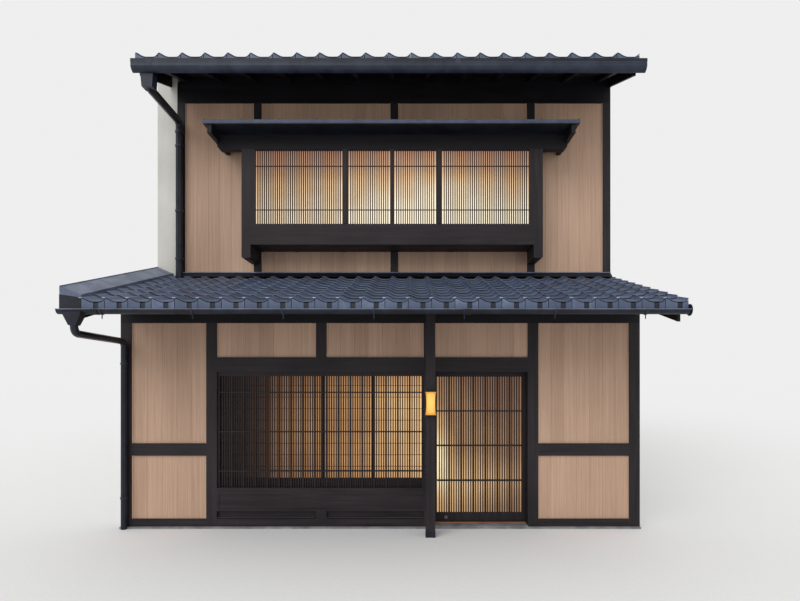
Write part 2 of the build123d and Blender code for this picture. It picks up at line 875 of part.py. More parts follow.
def ogee(side, x, inset, lift):
    """Section of the ogee gutter at x, drawn inset by a thickness and lifted at its open top."""
    back = upper_rafter_end + fascia_thickness + inset
    lip = upper_rafter_end + fascia_thickness + box_gutter_depth - inset
    foot = upper_rafter_end + fascia_thickness + box_gutter_foot
    bottom = box_gutter_bottom + inset
    with BuildSketch(Plane.YZ.offset(x)) as section:
        with BuildLine():
            Polyline(
                (side * lip, box_gutter_shoulder),
                (side * lip, box_gutter_top + lift),
                (side * back, box_gutter_top + lift),
                (side * back, box_gutter_back + inset),
                (side * foot, bottom),
            )
            ThreePointArc(
                (side * foot, bottom),
                (side * (lip - box_gutter_belly), (bottom + box_gutter_shoulder) / 2 - inset),
                (side * lip, box_gutter_shoulder),
            )
        make_face()
    return section.sketch


def box_gutter(side):
    """An ogee gutter with closed ends on the upper fascia."""
    length = box_gutter_right - box_gutter_left
    extrude(ogee(side, box_gutter_left, 0, 0), amount=length)
    extrude(ogee(side, box_gutter_left + gutter_wall, gutter_wall, gutter_wall),
            amount=length - 2 * gutter_wall, mode=Mode.SUBTRACT)


with BuildPart() as upper_gutter_front:
    box_gutter(front)
save(upper_gutter_front, "upper_gutter_front")

with BuildPart() as upper_gutter_rear:
    box_gutter(rear)
save(upper_gutter_rear, "upper_gutter_rear")

with BuildPart() as wall_capping:
    slice_x(x_left, roof_left, [
        (-y_upper, upper_deck(y_upper)),
        (-y_upper, upper_bed(y_upper)),
        (0, upper_bed(0)),
        (y_upper, upper_bed(y_upper)),
        (y_upper, upper_deck(y_upper)),
        (0, upper_deck(0)),
    ])
save(wall_capping, "wall_capping")


# Rainwater pipes at the front left
def hopper(x, y, top, width, depth, height, throat):
    """A box under a gutter that narrows to its pipe."""
    with BuildSketch(Plane.XY.offset(top)) as mouth:
        with Locations((x, y)):
            Rectangle(width, depth)
    with BuildSketch(Plane.XY.offset(top - height)) as outlet:
        with Locations((x, y)):
            Rectangle(throat, throat)
    loft([mouth.sketch, outlet.sketch])


def pipe(start, wall_x, wall_y, foot, radius):
    """A round pipe that drops from its hopper, runs back to the wall and goes down it."""
    x, y, top = start
    elbow = top - pipe_outlet
    with BuildLine() as route:
        FilletPolyline(
            (x, y, top),
            (x, y, elbow),
            (wall_x, wall_y, elbow - pipe_fall),
            (wall_x, wall_y, foot),
            radius=pipe_bend,
        )
    with BuildSketch(Plane(start, z_dir=route.line % 0)) as ring:
        RegularPolygon(radius, pipe_sides)
        RegularPolygon(radius - pipe_wall, pipe_sides, mode=Mode.SUBTRACT)
    sweep(ring.sketch, path=route.line)


upper_pipe_x = (upper_left_post[0] + upper_left_post[1]) / 2
upper_pipe_y = -y_upper - pipe_stand_off - upper_pipe_radius
box_gutter_rear = -upper_rafter_end - fascia_thickness
upper_hopper_y = box_gutter_rear - box_gutter_foot / 2
with BuildPart() as upper_downpipe:
    slice_x(upper_pipe_x - upper_hopper_width / 2, upper_pipe_x + upper_hopper_width / 2, [
        (box_gutter_rear, box_gutter_bottom),
        (box_gutter_rear, box_gutter_back),
        (box_gutter_rear - box_gutter_foot, box_gutter_bottom),
    ])
    hopper(upper_pipe_x, upper_hopper_y, box_gutter_bottom, upper_hopper_width, box_gutter_foot,
           upper_hopper_height, 2 * upper_pipe_radius)
    pipe((upper_pipe_x, upper_hopper_y, box_gutter_bottom - upper_hopper_height), upper_pipe_x,
         upper_pipe_y, pent_bed(y_upper + pipe_stand_off), upper_pipe_radius)
save(upper_downpipe, "upper_downpipe")

pent_pipe_x = x_left + corner_post_width / 2
pent_pipe_y = -y_ground - pipe_stand_off - pent_pipe_radius
pent_hopper_x = pent_pipe_x + pent_hopper_shift
pent_hopper_y = -(y_ground + half_gutter_out)
pent_hopper_top = half_gutter_rim - half_gutter_radius / 2
with BuildPart() as pent_downpipe:
    hopper(pent_hopper_x, pent_hopper_y, pent_hopper_top, pent_hopper_width, pent_hopper_depth,
           pent_hopper_height, 2 * pent_pipe_radius)
    extrude(half_round(front, pent_hopper_x - pent_hopper_width / 2, half_gutter_radius, 0),
            amount=pent_hopper_width, mode=Mode.SUBTRACT)
    pipe((pent_hopper_x, pent_hopper_y, pent_hopper_top - pent_hopper_height), pent_pipe_x,
         pent_pipe_y, 0, pent_pipe_radius)
save(pent_downpipe, "pent_downpipe")

# Rear wall, with a glazed door, a window and two upper windows
rear_step = (right_corner[0] - left_corner[1]) / rear_bays
rear_centres = [left_corner[1] + i * rear_step for i in range(1, rear_bays)]
rear_posts_x = [(x - bay_post_width / 2, x + bay_post_width / 2) for x in rear_centres]
rear_ground_x = [left_corner, *rear_posts_x, right_corner]
rear_upper_x = [upper_left_post, *rear_posts_x, upper_right_post]
rear_panel_back = y_ground - panel_recess
rear_upper_panel_back = y_upper - upper_panel_recess

with BuildPart() as rear_posts:
    for x0, x1 in rear_ground_x:
        block(x0, x1, ground_inner, y_ground, raft_height, wall_plate_bottom)
    for x0, x1 in rear_upper_x:
        block(x0, x1, upper_inner, y_upper, upper_panel_bottom, upper_plate_bottom)
save(rear_posts, "rear_posts")

with BuildPart() as rear_beams:
    for i in range(len(rear_ground_x) - 1):
        x0 = rear_ground_x[i][1]
        x1 = rear_ground_x[i + 1][0]
        block(x0, x1, ground_inner, y_ground, raft_height, sill_top)
        block(x0, x1, ground_inner, y_ground, lintel_bottom, lintel_top)
    for z0, z1 in ((upper_window_sill - upper_window_beam, upper_window_sill),
                   (upper_window_head, upper_window_head + upper_window_beam)):
        for i in (1, 2):
            block(rear_upper_x[i][1], rear_upper_x[i + 1][0], upper_inner, y_upper, z0, z1)
save(rear_beams, "rear_beams")

with BuildPart() as rear_plates:
    pent_plate(rear)
    upper_beams(rear)
save(rear_plates, "rear_plates")

with BuildPart() as rear_panels:
    for i in range(len(rear_ground_x) - 1):
        x0 = rear_ground_x[i][1]
        x1 = rear_ground_x[i + 1][0]
        y0 = rear_panel_back - panel_thickness
        block(x0, x1, y0, rear_panel_back, lintel_top, wall_plate_bottom)
        if i in (0, 3):
            block(x0, x1, y0, rear_panel_back, sill_top, lintel_bottom)
        if i == 1:
            block(x0, x1, y0, rear_panel_back, sill_top, rear_window_sill)
    for i in range(len(rear_upper_x) - 1):
        x0 = rear_upper_x[i][1]
        x1 = rear_upper_x[i + 1][0]
        y0 = rear_upper_panel_back - upper_panel_thickness
        if i in (1, 2):
            block(x0, x1, y0, rear_upper_panel_back, upper_panel_bottom,
                  upper_window_sill - upper_window_beam)
            block(x0, x1, y0, rear_upper_panel_back, upper_window_head + upper_window_beam,
                  upper_plate_bottom)
        else:
            block(x0, x1, y0, rear_upper_panel_back, upper_panel_bottom, upper_plate_bottom)
save(rear_panels, "rear_panels")

rear_openings = [
    (rear_ground_x[1][1], rear_ground_x[2][0], rear_window_sill, lintel_bottom, ground_inner),
    (rear_ground_x[2][1], rear_ground_x[3][0], sill_top, lintel_bottom, ground_inner),
    (rear_upper_x[1][1], rear_upper_x[2][0], upper_window_sill, upper_window_head, upper_inner),
    (rear_upper_x[2][1], rear_upper_x[3][0], upper_window_sill, upper_window_head, upper_inner),
]
with BuildPart() as rear_window_frames:
    for x0, x1, z0, z1, y0 in rear_openings:
        block(x0, x1, y0, y0 + window_frame_depth, z0, z1)
        middle = (x0 + x1) / 2
        for a, b in ((x0 + window_frame_width, middle - window_frame_width / 2),
                     (middle + window_frame_width / 2, x1 - window_frame_width)):
            block(a, b, y0, y0 + window_frame_depth, z0 + window_frame_width,
                  z1 - window_frame_width, mode=Mode.SUBTRACT)
save(rear_window_frames, "rear_window_frames")

with BuildPart() as rear_glass:
    for x0, x1, z0, z1, y0 in rear_openings:
        middle = (x0 + x1) / 2
        glass_y = y0 + (window_frame_depth - glass_thickness) / 2
        for a, b in ((x0 + window_frame_width, middle - window_frame_width / 2),
                     (middle + window_frame_width / 2, x1 - window_frame_width)):
            block(a, b, glass_y, glass_y + glass_thickness, z0 + window_frame_width,
                  z1 - window_frame_width)
save(rear_glass, "rear_glass")
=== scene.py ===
"""Looks of the townhouse: tiles, boards, kumiko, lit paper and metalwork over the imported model.

Everything is in metres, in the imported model's own frame: the street front faces -Y, +Z is up.
"""
from __future__ import annotations

import itertools
import logging
import math
import random
from abc import ABC, abstractmethod
from dataclasses import dataclass, field
from enum import Enum

import bpy
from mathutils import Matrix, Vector

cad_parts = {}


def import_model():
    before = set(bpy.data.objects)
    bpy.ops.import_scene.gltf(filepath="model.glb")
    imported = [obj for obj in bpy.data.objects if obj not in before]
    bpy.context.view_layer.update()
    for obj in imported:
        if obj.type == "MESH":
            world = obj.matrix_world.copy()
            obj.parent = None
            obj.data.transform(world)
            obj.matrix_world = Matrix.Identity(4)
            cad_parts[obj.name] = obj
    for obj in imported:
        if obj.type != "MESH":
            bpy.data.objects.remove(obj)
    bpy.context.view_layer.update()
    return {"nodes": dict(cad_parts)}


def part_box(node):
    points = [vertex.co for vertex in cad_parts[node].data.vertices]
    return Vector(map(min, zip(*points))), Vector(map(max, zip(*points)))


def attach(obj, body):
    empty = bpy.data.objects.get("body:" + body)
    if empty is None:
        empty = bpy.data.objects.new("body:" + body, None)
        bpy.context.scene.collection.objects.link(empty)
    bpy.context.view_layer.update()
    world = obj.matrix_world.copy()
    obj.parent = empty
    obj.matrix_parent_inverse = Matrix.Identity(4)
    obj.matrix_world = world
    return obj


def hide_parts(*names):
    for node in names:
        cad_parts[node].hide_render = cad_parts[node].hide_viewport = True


LOG = logging.getLogger("townhouse")

Point = tuple[float, float, float]
Pair = tuple[float, float]
Colour = tuple[float, float, float, float]
Box = tuple[Point, Point]
# Places, each with a second number that belongs to it
Stops = tuple[Pair, ...]
# Middle X and Z, half width, half height and added light
Pool = tuple[float, float, float, float, float]
Nodes = dict[str, bpy.types.Object]
Socket = bpy.types.NodeSocket

WHITE: Colour = (1.0, 1.0, 1.0, 1.0)
# What most of a noise lies between
NOISE_LOW, NOISE_HIGH = 0.3, 0.7
# Inputs and output of a Mix node that mixes colours
MIX_FACTOR, MIX_FIRST, MIX_SECOND, MIX_RESULT = 0, 6, 7, 2
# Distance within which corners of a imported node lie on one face
SAME_FACE = 0.001
# Tone of faces that have none of their own
MIDDLE_TONE = 0.5


class Axis(Enum):
    """Direction in which timber grain runs."""

    X = 0
    Y = 1
    Z = 2


class Side(Enum):
    """Street side or garden side of the house, as the sign of Y."""

    FRONT = -1
    REAR = 1

    @property
    def word(self) -> str:
        """Its word in the names of nodes and pieces."""
        return self.name.lower()


class Roof(Enum):
    """Pent roof or upper roof, as its nodes are named."""

    PENT = "pent"
    UPPER = "upper"


class Body(Enum):
    """What a piece rides on."""

    HOUSE = "house"
    DOOR = "entry_door"


class Slot(Enum):
    """The record's material slots named for new pieces."""

    STONE = "stone"
    TIMBER = "dark_timber"
    BOARD = "panel_board"
    TILE = "clay_tile"
    METAL = "dark_metal"
    STEEL = "strap_metal"
    SHADE = "lamp_shade"


def srgb(red: int, green: int, blue: int) -> Colour:
    """Turns a screen colour into the linear colour that shaders take.

    Args:
        red: Red from 0 to 255.
        green: Green from 0 to 255.
        blue: Blue from 0 to 255.

    Returns:
        Linear red, green and blue with an alpha of one.
    """
    linear = []
    for value in (red / 255, green / 255, blue / 255):
        linear.append(value / 12.92 if value <= 0.04045 else ((value + 0.055) / 1.055) ** 2.4)
    return (linear[0], linear[1], linear[2], 1.0)


class Graph:
    """A material's node tree with short calls for the nodes used here."""

    def __init__(self, name: str) -> None:
        """Starts a material with its surface shader.

        Args:
            name: Name of the material.
        """
        self.material = bpy.data.materials.new(name)
        self.material.use_nodes = True
        self.tree = self.material.node_tree
        self.shader = self.tree.nodes["Principled BSDF"]

    def add(self, kind: str, **settings: object) -> bpy.types.Node:
        """Adds a node.

        Args:
            kind: Blender's name for the node type.
            **settings: Properties to set on it.

        Returns:
            The new node.
        """
        node = self.tree.nodes.new(kind)
        for key, value in settings.items():
            setattr(node, key, value)
        return node

    def join(self, source: Socket, target: Socket) -> None:
        """Links an output to an input."""
        self.tree.links.new(source, target)

    def place(self, scale: Point = (1.0, 1.0, 1.0)) -> Socket:
        """Coordinates of the piece itself, stretched.

        Args:
            scale: Factor along each axis.

        Returns:
            The stretched coordinates.
        """
        where = self.add("ShaderNodeTexCoord")
        mapping = self.add("ShaderNodeMapping")
        mapping.inputs["Scale"].default_value = scale
        self.join(where.outputs["Object"], mapping.inputs["Vector"])
        return mapping.outputs["Vector"]

    def noise(self, where: Socket, scale: float, detail: float, rough: float = 0.55,
              warp: float = 0.0) -> Socket:
        """A noise value from zero to one.

        Args:
            where: Coordinates.
            scale: Cells per metre.
            detail: Octaves.
            rough: Weight of the fine octaves.
            warp: Distortion.

        Returns:
            The noise factor.
        """
        node = self.add("ShaderNodeTexNoise")
        node.inputs["Scale"].default_value = scale
        node.inputs["Detail"].default_value = detail
        node.inputs["Roughness"].default_value = rough
        node.inputs["Distortion"].default_value = warp
        self.join(where, node.inputs["Vector"])
        return node.outputs["Fac"]

    def ramp(self, value: Socket, stops: list[tuple[float, Colour]]) -> Socket:
        """Turns a value into a colour.

        Args:
            value: A number from zero to one.
            stops: Places and colours, in order.

        Returns:
            The colour.
        """
        node = self.add("ShaderNodeValToRGB")
        while len(node.color_ramp.elements) < len(stops):
            node.color_ramp.elements.new(0.5)
        for element, (place, colour) in zip(node.color_ramp.elements, stops):
            element.position = place
            element.color = colour
        self.join(value, node.inputs["Fac"])
        return node.outputs["Color"]

    def grey(self, value: Socket, low: Pair, high: Pair) -> Socket:
        """Maps a range of a value on another range, clamped.

        Args:
            value: The number.
            low: Input and output at the low end.
            high: Input and output at the high end.

        Returns:
            The mapped number.
        """
        node = self.add("ShaderNodeMapRange")
        node.inputs["From Min"].default_value = low[0]
        node.inputs["From Max"].default_value = high[0]
        node.inputs["To Min"].default_value = low[1]
        node.inputs["To Max"].default_value = high[1]
        self.join(value, node.inputs["Value"])
        return node.outputs["Result"]

    def spread(self, noise: Socket, low: float, high: float) -> Socket:
        """Maps what most of a noise covers on the numbers from low to high, clamped."""
        return self.grey(noise, (NOISE_LOW, low), (NOISE_HIGH, high))

    def feed(self, value: Socket | float | Colour, target: Socket) -> None:
        """Links a socket to an input, or sets the input to a constant.

        Args:
            value: The socket or the constant.
            target: The input.
        """
        if isinstance(value, (int, float, tuple)):
            target.default_value = value
        else:
            self.join(value, target)

    def plus(self, first: Socket, second: Socket | float) -> Socket:
        """Adds two numbers."""
        return self._math("ADD", first, second)

    def times(self, first: Socket, second: Socket | float) -> Socket:
        """Multiplies two numbers."""
        return self._math("MULTIPLY", first, second)

    def _math(self, kind: str, first: Socket, second: Socket | float) -> Socket:
        """Joins two numbers.

        Args:
            kind: Blender's name for the operation.
            first: First number.
            second: Second number, a socket or a constant.

        Returns:
            The result.
        """
        node = self.add("ShaderNodeMath", operation=kind)
        self.join(first, node.inputs[0])
        self.feed(second, node.inputs[1])
        return node.outputs[0]

    def weigh(self, *parts: tuple[Socket, float]) -> Socket:
        """Adds up numbers by their weights.

        Args:
            *parts: Each number with its weight.

        Returns:
            The sum.
        """
        total = self.times(*parts[0])
        for part in parts[1:]:
            total = self.plus(total, self.times(*part))
        return total

    def shade(self, colour: Socket, tint: Colour) -> Socket:
        """Multiplies a colour by a constant one.

        Args:
            colour: The colour.
            tint: The constant one.

        Returns:
            The product.
        """
        node = self.add("ShaderNodeMix", data_type="RGBA", blend_type="MULTIPLY")
        node.inputs[MIX_FACTOR].default_value = 1.0
        self.join(colour, node.inputs[MIX_FIRST])
        node.inputs[MIX_SECOND].default_value = tint
        return node.outputs[MIX_RESULT]

    def bump(self, height: Socket, distance: float, strength: float,
             before: Socket | None = None) -> Socket:
        """Adds relief.

        Args:
            height: Height from zero to one.
            distance: Depth of the relief in metres.
            strength: Share of it that shows.
            before: Normal of an earlier relief.

        Returns:
            The new normal.
        """
        node = self.add("ShaderNodeBump")
        node.inputs["Distance"].default_value = distance
        node.inputs["Strength"].default_value = strength
        self.join(height, node.inputs["Height"])
        if before is not None:
            self.join(before, node.inputs["Normal"])
        return node.outputs["Normal"]

    def split(self, where: Socket) -> list[Socket]:
        """The three numbers of a set of coordinates.

        Args:
            where: The coordinates.

        Returns:
            Their X, Y and Z.
        """
        node = self.add("ShaderNodeSeparateXYZ")
        self.join(where, node.inputs[0])
        return list(node.outputs)

    def finish(self, colour: Socket | Colour, rough: Socket | float,
               normal: Socket | None) -> bpy.types.Material:
        """Joins the usual sockets of the surface shader.

        Args:
            colour: Base colour, a socket or a constant.
            rough: Roughness, a socket or a constant.
            normal: Normal, if there is relief.

        Returns:
            The material.
        """
        self.feed(colour, self.shader.inputs["Base Color"])
        self.feed(rough, self.shader.inputs["Roughness"])
        if normal is not None:
            self.join(normal, self.shader.inputs["Normal"])
        return self.material


@dataclass(frozen=True)
class Finish:
    """A finish whose colour runs from a dark to a light one.

    Attributes:
        name: Name of the material.
        dark: Its dark colour.
        light: Its light colour.
    """

    name: str
    dark: Colour
    light: Colour


@dataclass(frozen=True)
class Timber(Finish):
    """Stained or plain solid timber with grain along one axis.

    Attributes:
        grain: Direction of the grain.
        rough: Mean roughness.
        sheen: Strength of the reflection.
        glow: Light that comes through a thin bar from the paper behind it.
        rings: Rings per metre across and along the grain.
        pores: Pores per metre across and along the grain.
        patch: Patches per metre.
        stops: Tones of the dark and of the light colour.
    """

    grain: Axis = Axis.Z
    rough: float = 0.55
    sheen: float = 0.22
    glow: float = 0.0
    rings: Pair = (22.0, 1.1)
    pores: Pair = (160.0, 5.0)
    patch: float = 1.6
    stops: Pair = (0.32, 0.72)

    def make(self) -> bpy.types.Material:
        """Builds the material.

        Returns:
            The material.
        """
        graph = Graph(self.name)
        rings = graph.noise(self._stretch(graph, self.rings), 1.0, detail=4.0, rough=0.6, warp=0.6)
        pores = graph.noise(self._stretch(graph, self.pores), 1.0, detail=2.0, rough=0.6)
        patch = graph.noise(graph.place(), self.patch, detail=2.0)
        tone = graph.weigh((rings, 0.75), (patch, 0.35))
        colour = graph.ramp(tone, [(self.stops[0], self.dark), (self.stops[1], self.light)])
        rough = graph.spread(rings, self.rough - 0.08, self.rough + 0.1)
        relief = graph.bump(rings, distance=0.0012, strength=0.5)
        relief = graph.bump(pores, distance=0.0005, strength=0.6, before=relief)
        graph.shader.inputs["Specular IOR Level"].default_value = self.sheen
        if self.glow:
            graph.join(colour, graph.shader.inputs["Emission Color"])
            graph.shader.inputs["Emission Strength"].default_value = self.glow
        return graph.finish(colour, rough, relief)

    def _stretch(self, graph: Graph, cells: Pair) -> Socket:
        """Coordinates stretched along the grain.

        Args:
            graph: The material's graph.
            cells: Cells per metre across and along the grain.

        Returns:
            The stretched coordinates.
        """
        scale = [cells[0]] * 3
        scale[self.grain.value] = cells[1]
        return graph.place((scale[0], scale[1], scale[2]))


@dataclass(frozen=True)
class Boarding(Finish):
    """Upright boards of fine straight grain, with the grain of each board shifted by its tone.

    Attributes:
        shift: How far a board's tone shifts its grain.
        grain: Cells of the grain per metre along each axis.
        fine: Cells of the fine grain per metre along each axis.
        cloud: Stretch of the clouds along each axis.
        cloud_scale: Clouds per metre.
        stops: Tones of the dark and of the light colour.
    """

    shift: float = 40.0
    grain: Point = (85.0, 85.0, 1.1)
    fine: Point = (460.0, 460.0, 7.0)
    cloud: Point = (1.0, 1.0, 0.5)
    cloud_scale: float = 1.2
    stops: Pair = (0.34, 0.7)

    def make(self) -> bpy.types.Material:
        """Builds the material.

        Returns:
            The material.
        """
        graph = Graph(self.name)
        own = graph.add("ShaderNodeAttribute", attribute_name="tone")
        shifted = graph.add("ShaderNodeVectorMath", operation="MULTIPLY_ADD")
        graph.join(own.outputs["Color"], shifted.inputs[0])
        shifted.inputs[1].default_value = (self.shift, self.shift, self.shift)
        graph.join(graph.place(self.grain), shifted.inputs[2])
        grain = graph.noise(shifted.outputs[0], 1.0, detail=5.0, rough=0.6, warp=0.3)
        fine = graph.noise(graph.place(self.fine), 1.0, detail=2.0, rough=0.5)
        cloud = graph.noise(graph.place(self.cloud), self.cloud_scale, detail=2.0)
        tone = graph.weigh((grain, 0.5), (own.outputs["Fac"], 0.12), (cloud, 0.3), (fine, 0.14))
        colour = graph.ramp(tone, [(self.stops[0], self.dark), (self.stops[1], self.light)])
        relief = graph.bump(grain, distance=0.0006, strength=0.5)
        relief = graph.bump(fine, distance=0.0003, strength=0.5, before=relief)
        return graph.finish(colour, graph.spread(grain, 0.5, 0.66), relief)


@dataclass(frozen=True)
class FiredClay(Finish):
    """Smoked roof tiles: each tile has its own tone, and the surface a soft sheen.

    Attributes:
        shade: Colour of the painted shade in the eave plates' recesses.
        glint: Colour of the painted highlight on the roll ends.
        stain: Stains per metre.
        grit: Grains per metre.
        stops: Tones of the dark and of the light colour.
    """

    shade: Colour
    glint: Colour
    stain: float = 9.0
    grit: float = 240.0
    stops: Pair = (0.22, 0.72)

    def make(self) -> bpy.types.Material:
        """Builds the material.

        Returns:
            The material.
        """
        graph = Graph(self.name)
        tone = graph.add("ShaderNodeAttribute", attribute_name="tone")
        plain = graph.place()
        stain = graph.noise(plain, self.stain, detail=5.0, rough=0.65, warp=0.4)
        grit = graph.noise(plain, self.grit, detail=2.0, rough=0.6)
        mixed = graph.weigh((tone.outputs["Fac"], 0.5), (stain, 0.5))
        colour = graph.ramp(mixed, [(0.0, self.shade), (self.stops[0], self.dark),
                                    (self.stops[1], self.light), (1.0, self.glint)])
        relief = graph.bump(stain, distance=0.002, strength=0.25)
        relief = graph.bump(grit, distance=0.0006, strength=0.5, before=relief)
        return graph.finish(colour, graph.spread(stain, 0.42, 0.6), relief)


@dataclass(frozen=True)
class Mineral(Finish):
    """Plaster or stone, matt, with faint clouds and grain.

    Attributes:
        cloud: Clouds per metre.
        grain: Grains per metre.
        relief: Depth of the grain in metres.
        streak: Cells of the rain streaks per metre along each axis.
        stops: Tones of the dark and of the light colour.
    """

    cloud: float = 1.4
    grain: float = 220.0
    relief: float = 0.0008
    streak: Point = (6.0, 6.0, 0.5)
    stops: Pair = (0.33, 0.7)

    def make(self) -> bpy.types.Material:
        """Builds the material.

        Returns:
            The material.
        """
        graph = Graph(self.name)
        plain = graph.place()
        cloud = graph.noise(plain, self.cloud, detail=5.0, rough=0.6, warp=0.3)
        streak = graph.noise(graph.place(self.streak), 1.0, detail=4.0, rough=0.6)
        grain = graph.noise(plain, self.grain, detail=2.0, rough=0.6)
        tone = graph.weigh((cloud, 0.6), (streak, 0.3), (grain, 0.15))
        colour = graph.ramp(tone, [(self.stops[0], self.dark), (self.stops[1], self.light)])
        relief = graph.bump(cloud, distance=3 * self.relief, strength=0.4)
        relief = graph.bump(grain, distance=self.relief, strength=0.7, before=relief)
        return graph.finish(colour, graph.spread(grain, 0.78, 0.92), relief)


@dataclass(frozen=True)
class SheetMetal(Finish):
    """Painted or bare sheet metal with faint unevenness.

    Attributes:
        metallic: Share of bare metal.
        rough: Mean roughness.
        sheen: Strength of the reflection.
        cloud: Uneven places per metre.
        dust: Specks per metre.
        stops: Tones of the dark and of the light colour.
    """

    metallic: float = 0.0
    rough: float = 0.4
    sheen: float = 0.3
    cloud: float = 5.0
    dust: float = 90.0
    stops: Pair = (0.35, 0.7)

    def make(self) -> bpy.types.Material:
        """Builds the material.

        Returns:
            The material.
        """
        graph = Graph(self.name)
        plain = graph.place()
        cloud = graph.noise(plain, self.cloud, detail=4.0, rough=0.6, warp=0.5)
        dust = graph.noise(plain, self.dust, detail=2.0, rough=0.6)
        colour = graph.ramp(cloud, [(self.stops[0], self.dark), (self.stops[1], self.light)])
        graph.shader.inputs["Metallic"].default_value = self.metallic
        graph.shader.inputs["Specular IOR Level"].default_value = self.sheen
        rough = graph.spread(dust, self.rough - 0.06, self.rough + 0.1)
        relief = graph.bump(cloud, distance=0.0025, strength=0.25)
        relief = graph.bump(dust, distance=0.0002, strength=0.5, before=relief)
        return graph.finish(colour, rough, relief)


@dataclass(frozen=True)
class LitPaper:
    """A paper screen lit from inside, with paper fibre and an uneven wash of light.

    Attributes:
        name: Name of the material.
        colours: Colours from the darkest to the brightest part.
        across: Places along X and the light there, from zero to one.
        up: Places along Z and the light there, from zero to one.
        glow: Strength of the light at its highest.
        least: Strength at its lowest.
        pools: Brighter patches.
        unlit: Share of the light's colour that the unlit paper keeps, in linear colour.
        fibre: Fibres per metre along each axis.
        cloud: Uneven places per metre.
    """

    name: str
    colours: tuple[Colour, ...]
    across: Stops
    up: Stops
    glow: float
    least: float
    pools: tuple[Pool, ...] = ()
    unlit: Colour = (0.4, 0.36, 0.3, 1.0)
    fibre: Point = (60.0, 60.0, 14.0)
    cloud: float = 2.2

    def make(self) -> bpy.types.Material:
        """Builds the material.

        Returns:
            The material.
        """
        graph = Graph(self.name)
        plain = graph.place()
        axes = graph.split(plain)
        wash = self._wash(graph, axes[Axis.X.value], self.across)
        rise = self._wash(graph, axes[Axis.Z.value], self.up)
        fibre = graph.noise(graph.place(self.fibre), 1.0, detail=4.0, rough=0.6, warp=0.6)
        cloud = graph.noise(plain, self.cloud, detail=2.0)
        light = graph.times(wash, rise)
        for pool in self.pools:
            light = graph.plus(light, self._pool(graph, plain, pool))
        light = graph.times(light, graph.spread(cloud, 0.9, 1.08))
        light = graph.times(light, graph.spread(fibre, 0.95, 1.04))
        last = len(self.colours) - 1
        colour = graph.ramp(light, [(i / last, tint) for i, tint in enumerate(self.colours)])
        graph.join(colour, graph.shader.inputs["Emission Color"])
        graph.join(graph.grey(light, (0.0, self.least), (1.0, self.glow)),
                   graph.shader.inputs["Emission Strength"])
        return graph.finish(graph.shade(colour, self.unlit), graph.spread(fibre, 0.8, 0.9),
                            graph.bump(fibre, distance=0.0003, strength=0.5))

    @staticmethod
    def _pool(graph: Graph, plain: Socket, pool: Pool) -> Socket:
        """Light of one brighter patch.

        Args:
            graph: The material's graph.
            plain: Coordinates of the piece itself.
            pool: The patch.

        Returns:
            The light that it adds, falling to zero at its edge.
        """
        x, z, wide, tall, level = pool
        near = graph.add("ShaderNodeMapping")
        near.inputs["Location"].default_value = (-x / wide, 0.0, -z / tall)
        near.inputs["Scale"].default_value = (1 / wide, 0.0, 1 / tall)
        graph.join(plain, near.inputs["Vector"])
        reach = graph.add("ShaderNodeVectorMath", operation="LENGTH")
        graph.join(near.outputs["Vector"], reach.inputs[0])
        return graph.grey(reach.outputs["Value"], (0.0, level), (1.0, 0.0))

    @staticmethod
    def _wash(graph: Graph, place: Socket, stops: Stops) -> Socket:
        """Light along one axis.

        Args:
            graph: The material's graph.
            place: Coordinate along the axis.
            stops: Places and the light there.

        Returns:
            The light from zero to one.
        """
        low, high = stops[0][0], stops[-1][0]
        share = graph.grey(place, (low, 0.0), (high, 1.0))
        return graph.ramp(share, [((at - low) / (high - low), (level, level, level, 1.0))
                                  for at, level in stops])


@dataclass(frozen=True)
class Pane:
    """Clear window glass over an unlit room.

    Attributes:
        name: Name of the material.
        tint: Colour of the glass.
        alpha: Share of the light that the glass keeps back.
        sheen: Strength of the reflection.
        wave: Waves per metre.
    """

    name: str
    tint: Colour
    alpha: float = 0.55
    sheen: float = 0.7
    wave: float = 3.0

    def make(self) -> bpy.types.Material:
        """Builds the material.

        Returns:
            The material.
        """
        graph = Graph(self.name)
        wave = graph.noise(graph.place(), self.wave, detail=1.0)
        graph.shader.inputs["Alpha"].default_value = self.alpha
        graph.shader.inputs["Specular IOR Level"].default_value = self.sheen
        return graph.finish(self.tint, graph.spread(wave, 0.03, 0.07),
                            graph.bump(wave, distance=0.001, strength=0.2))


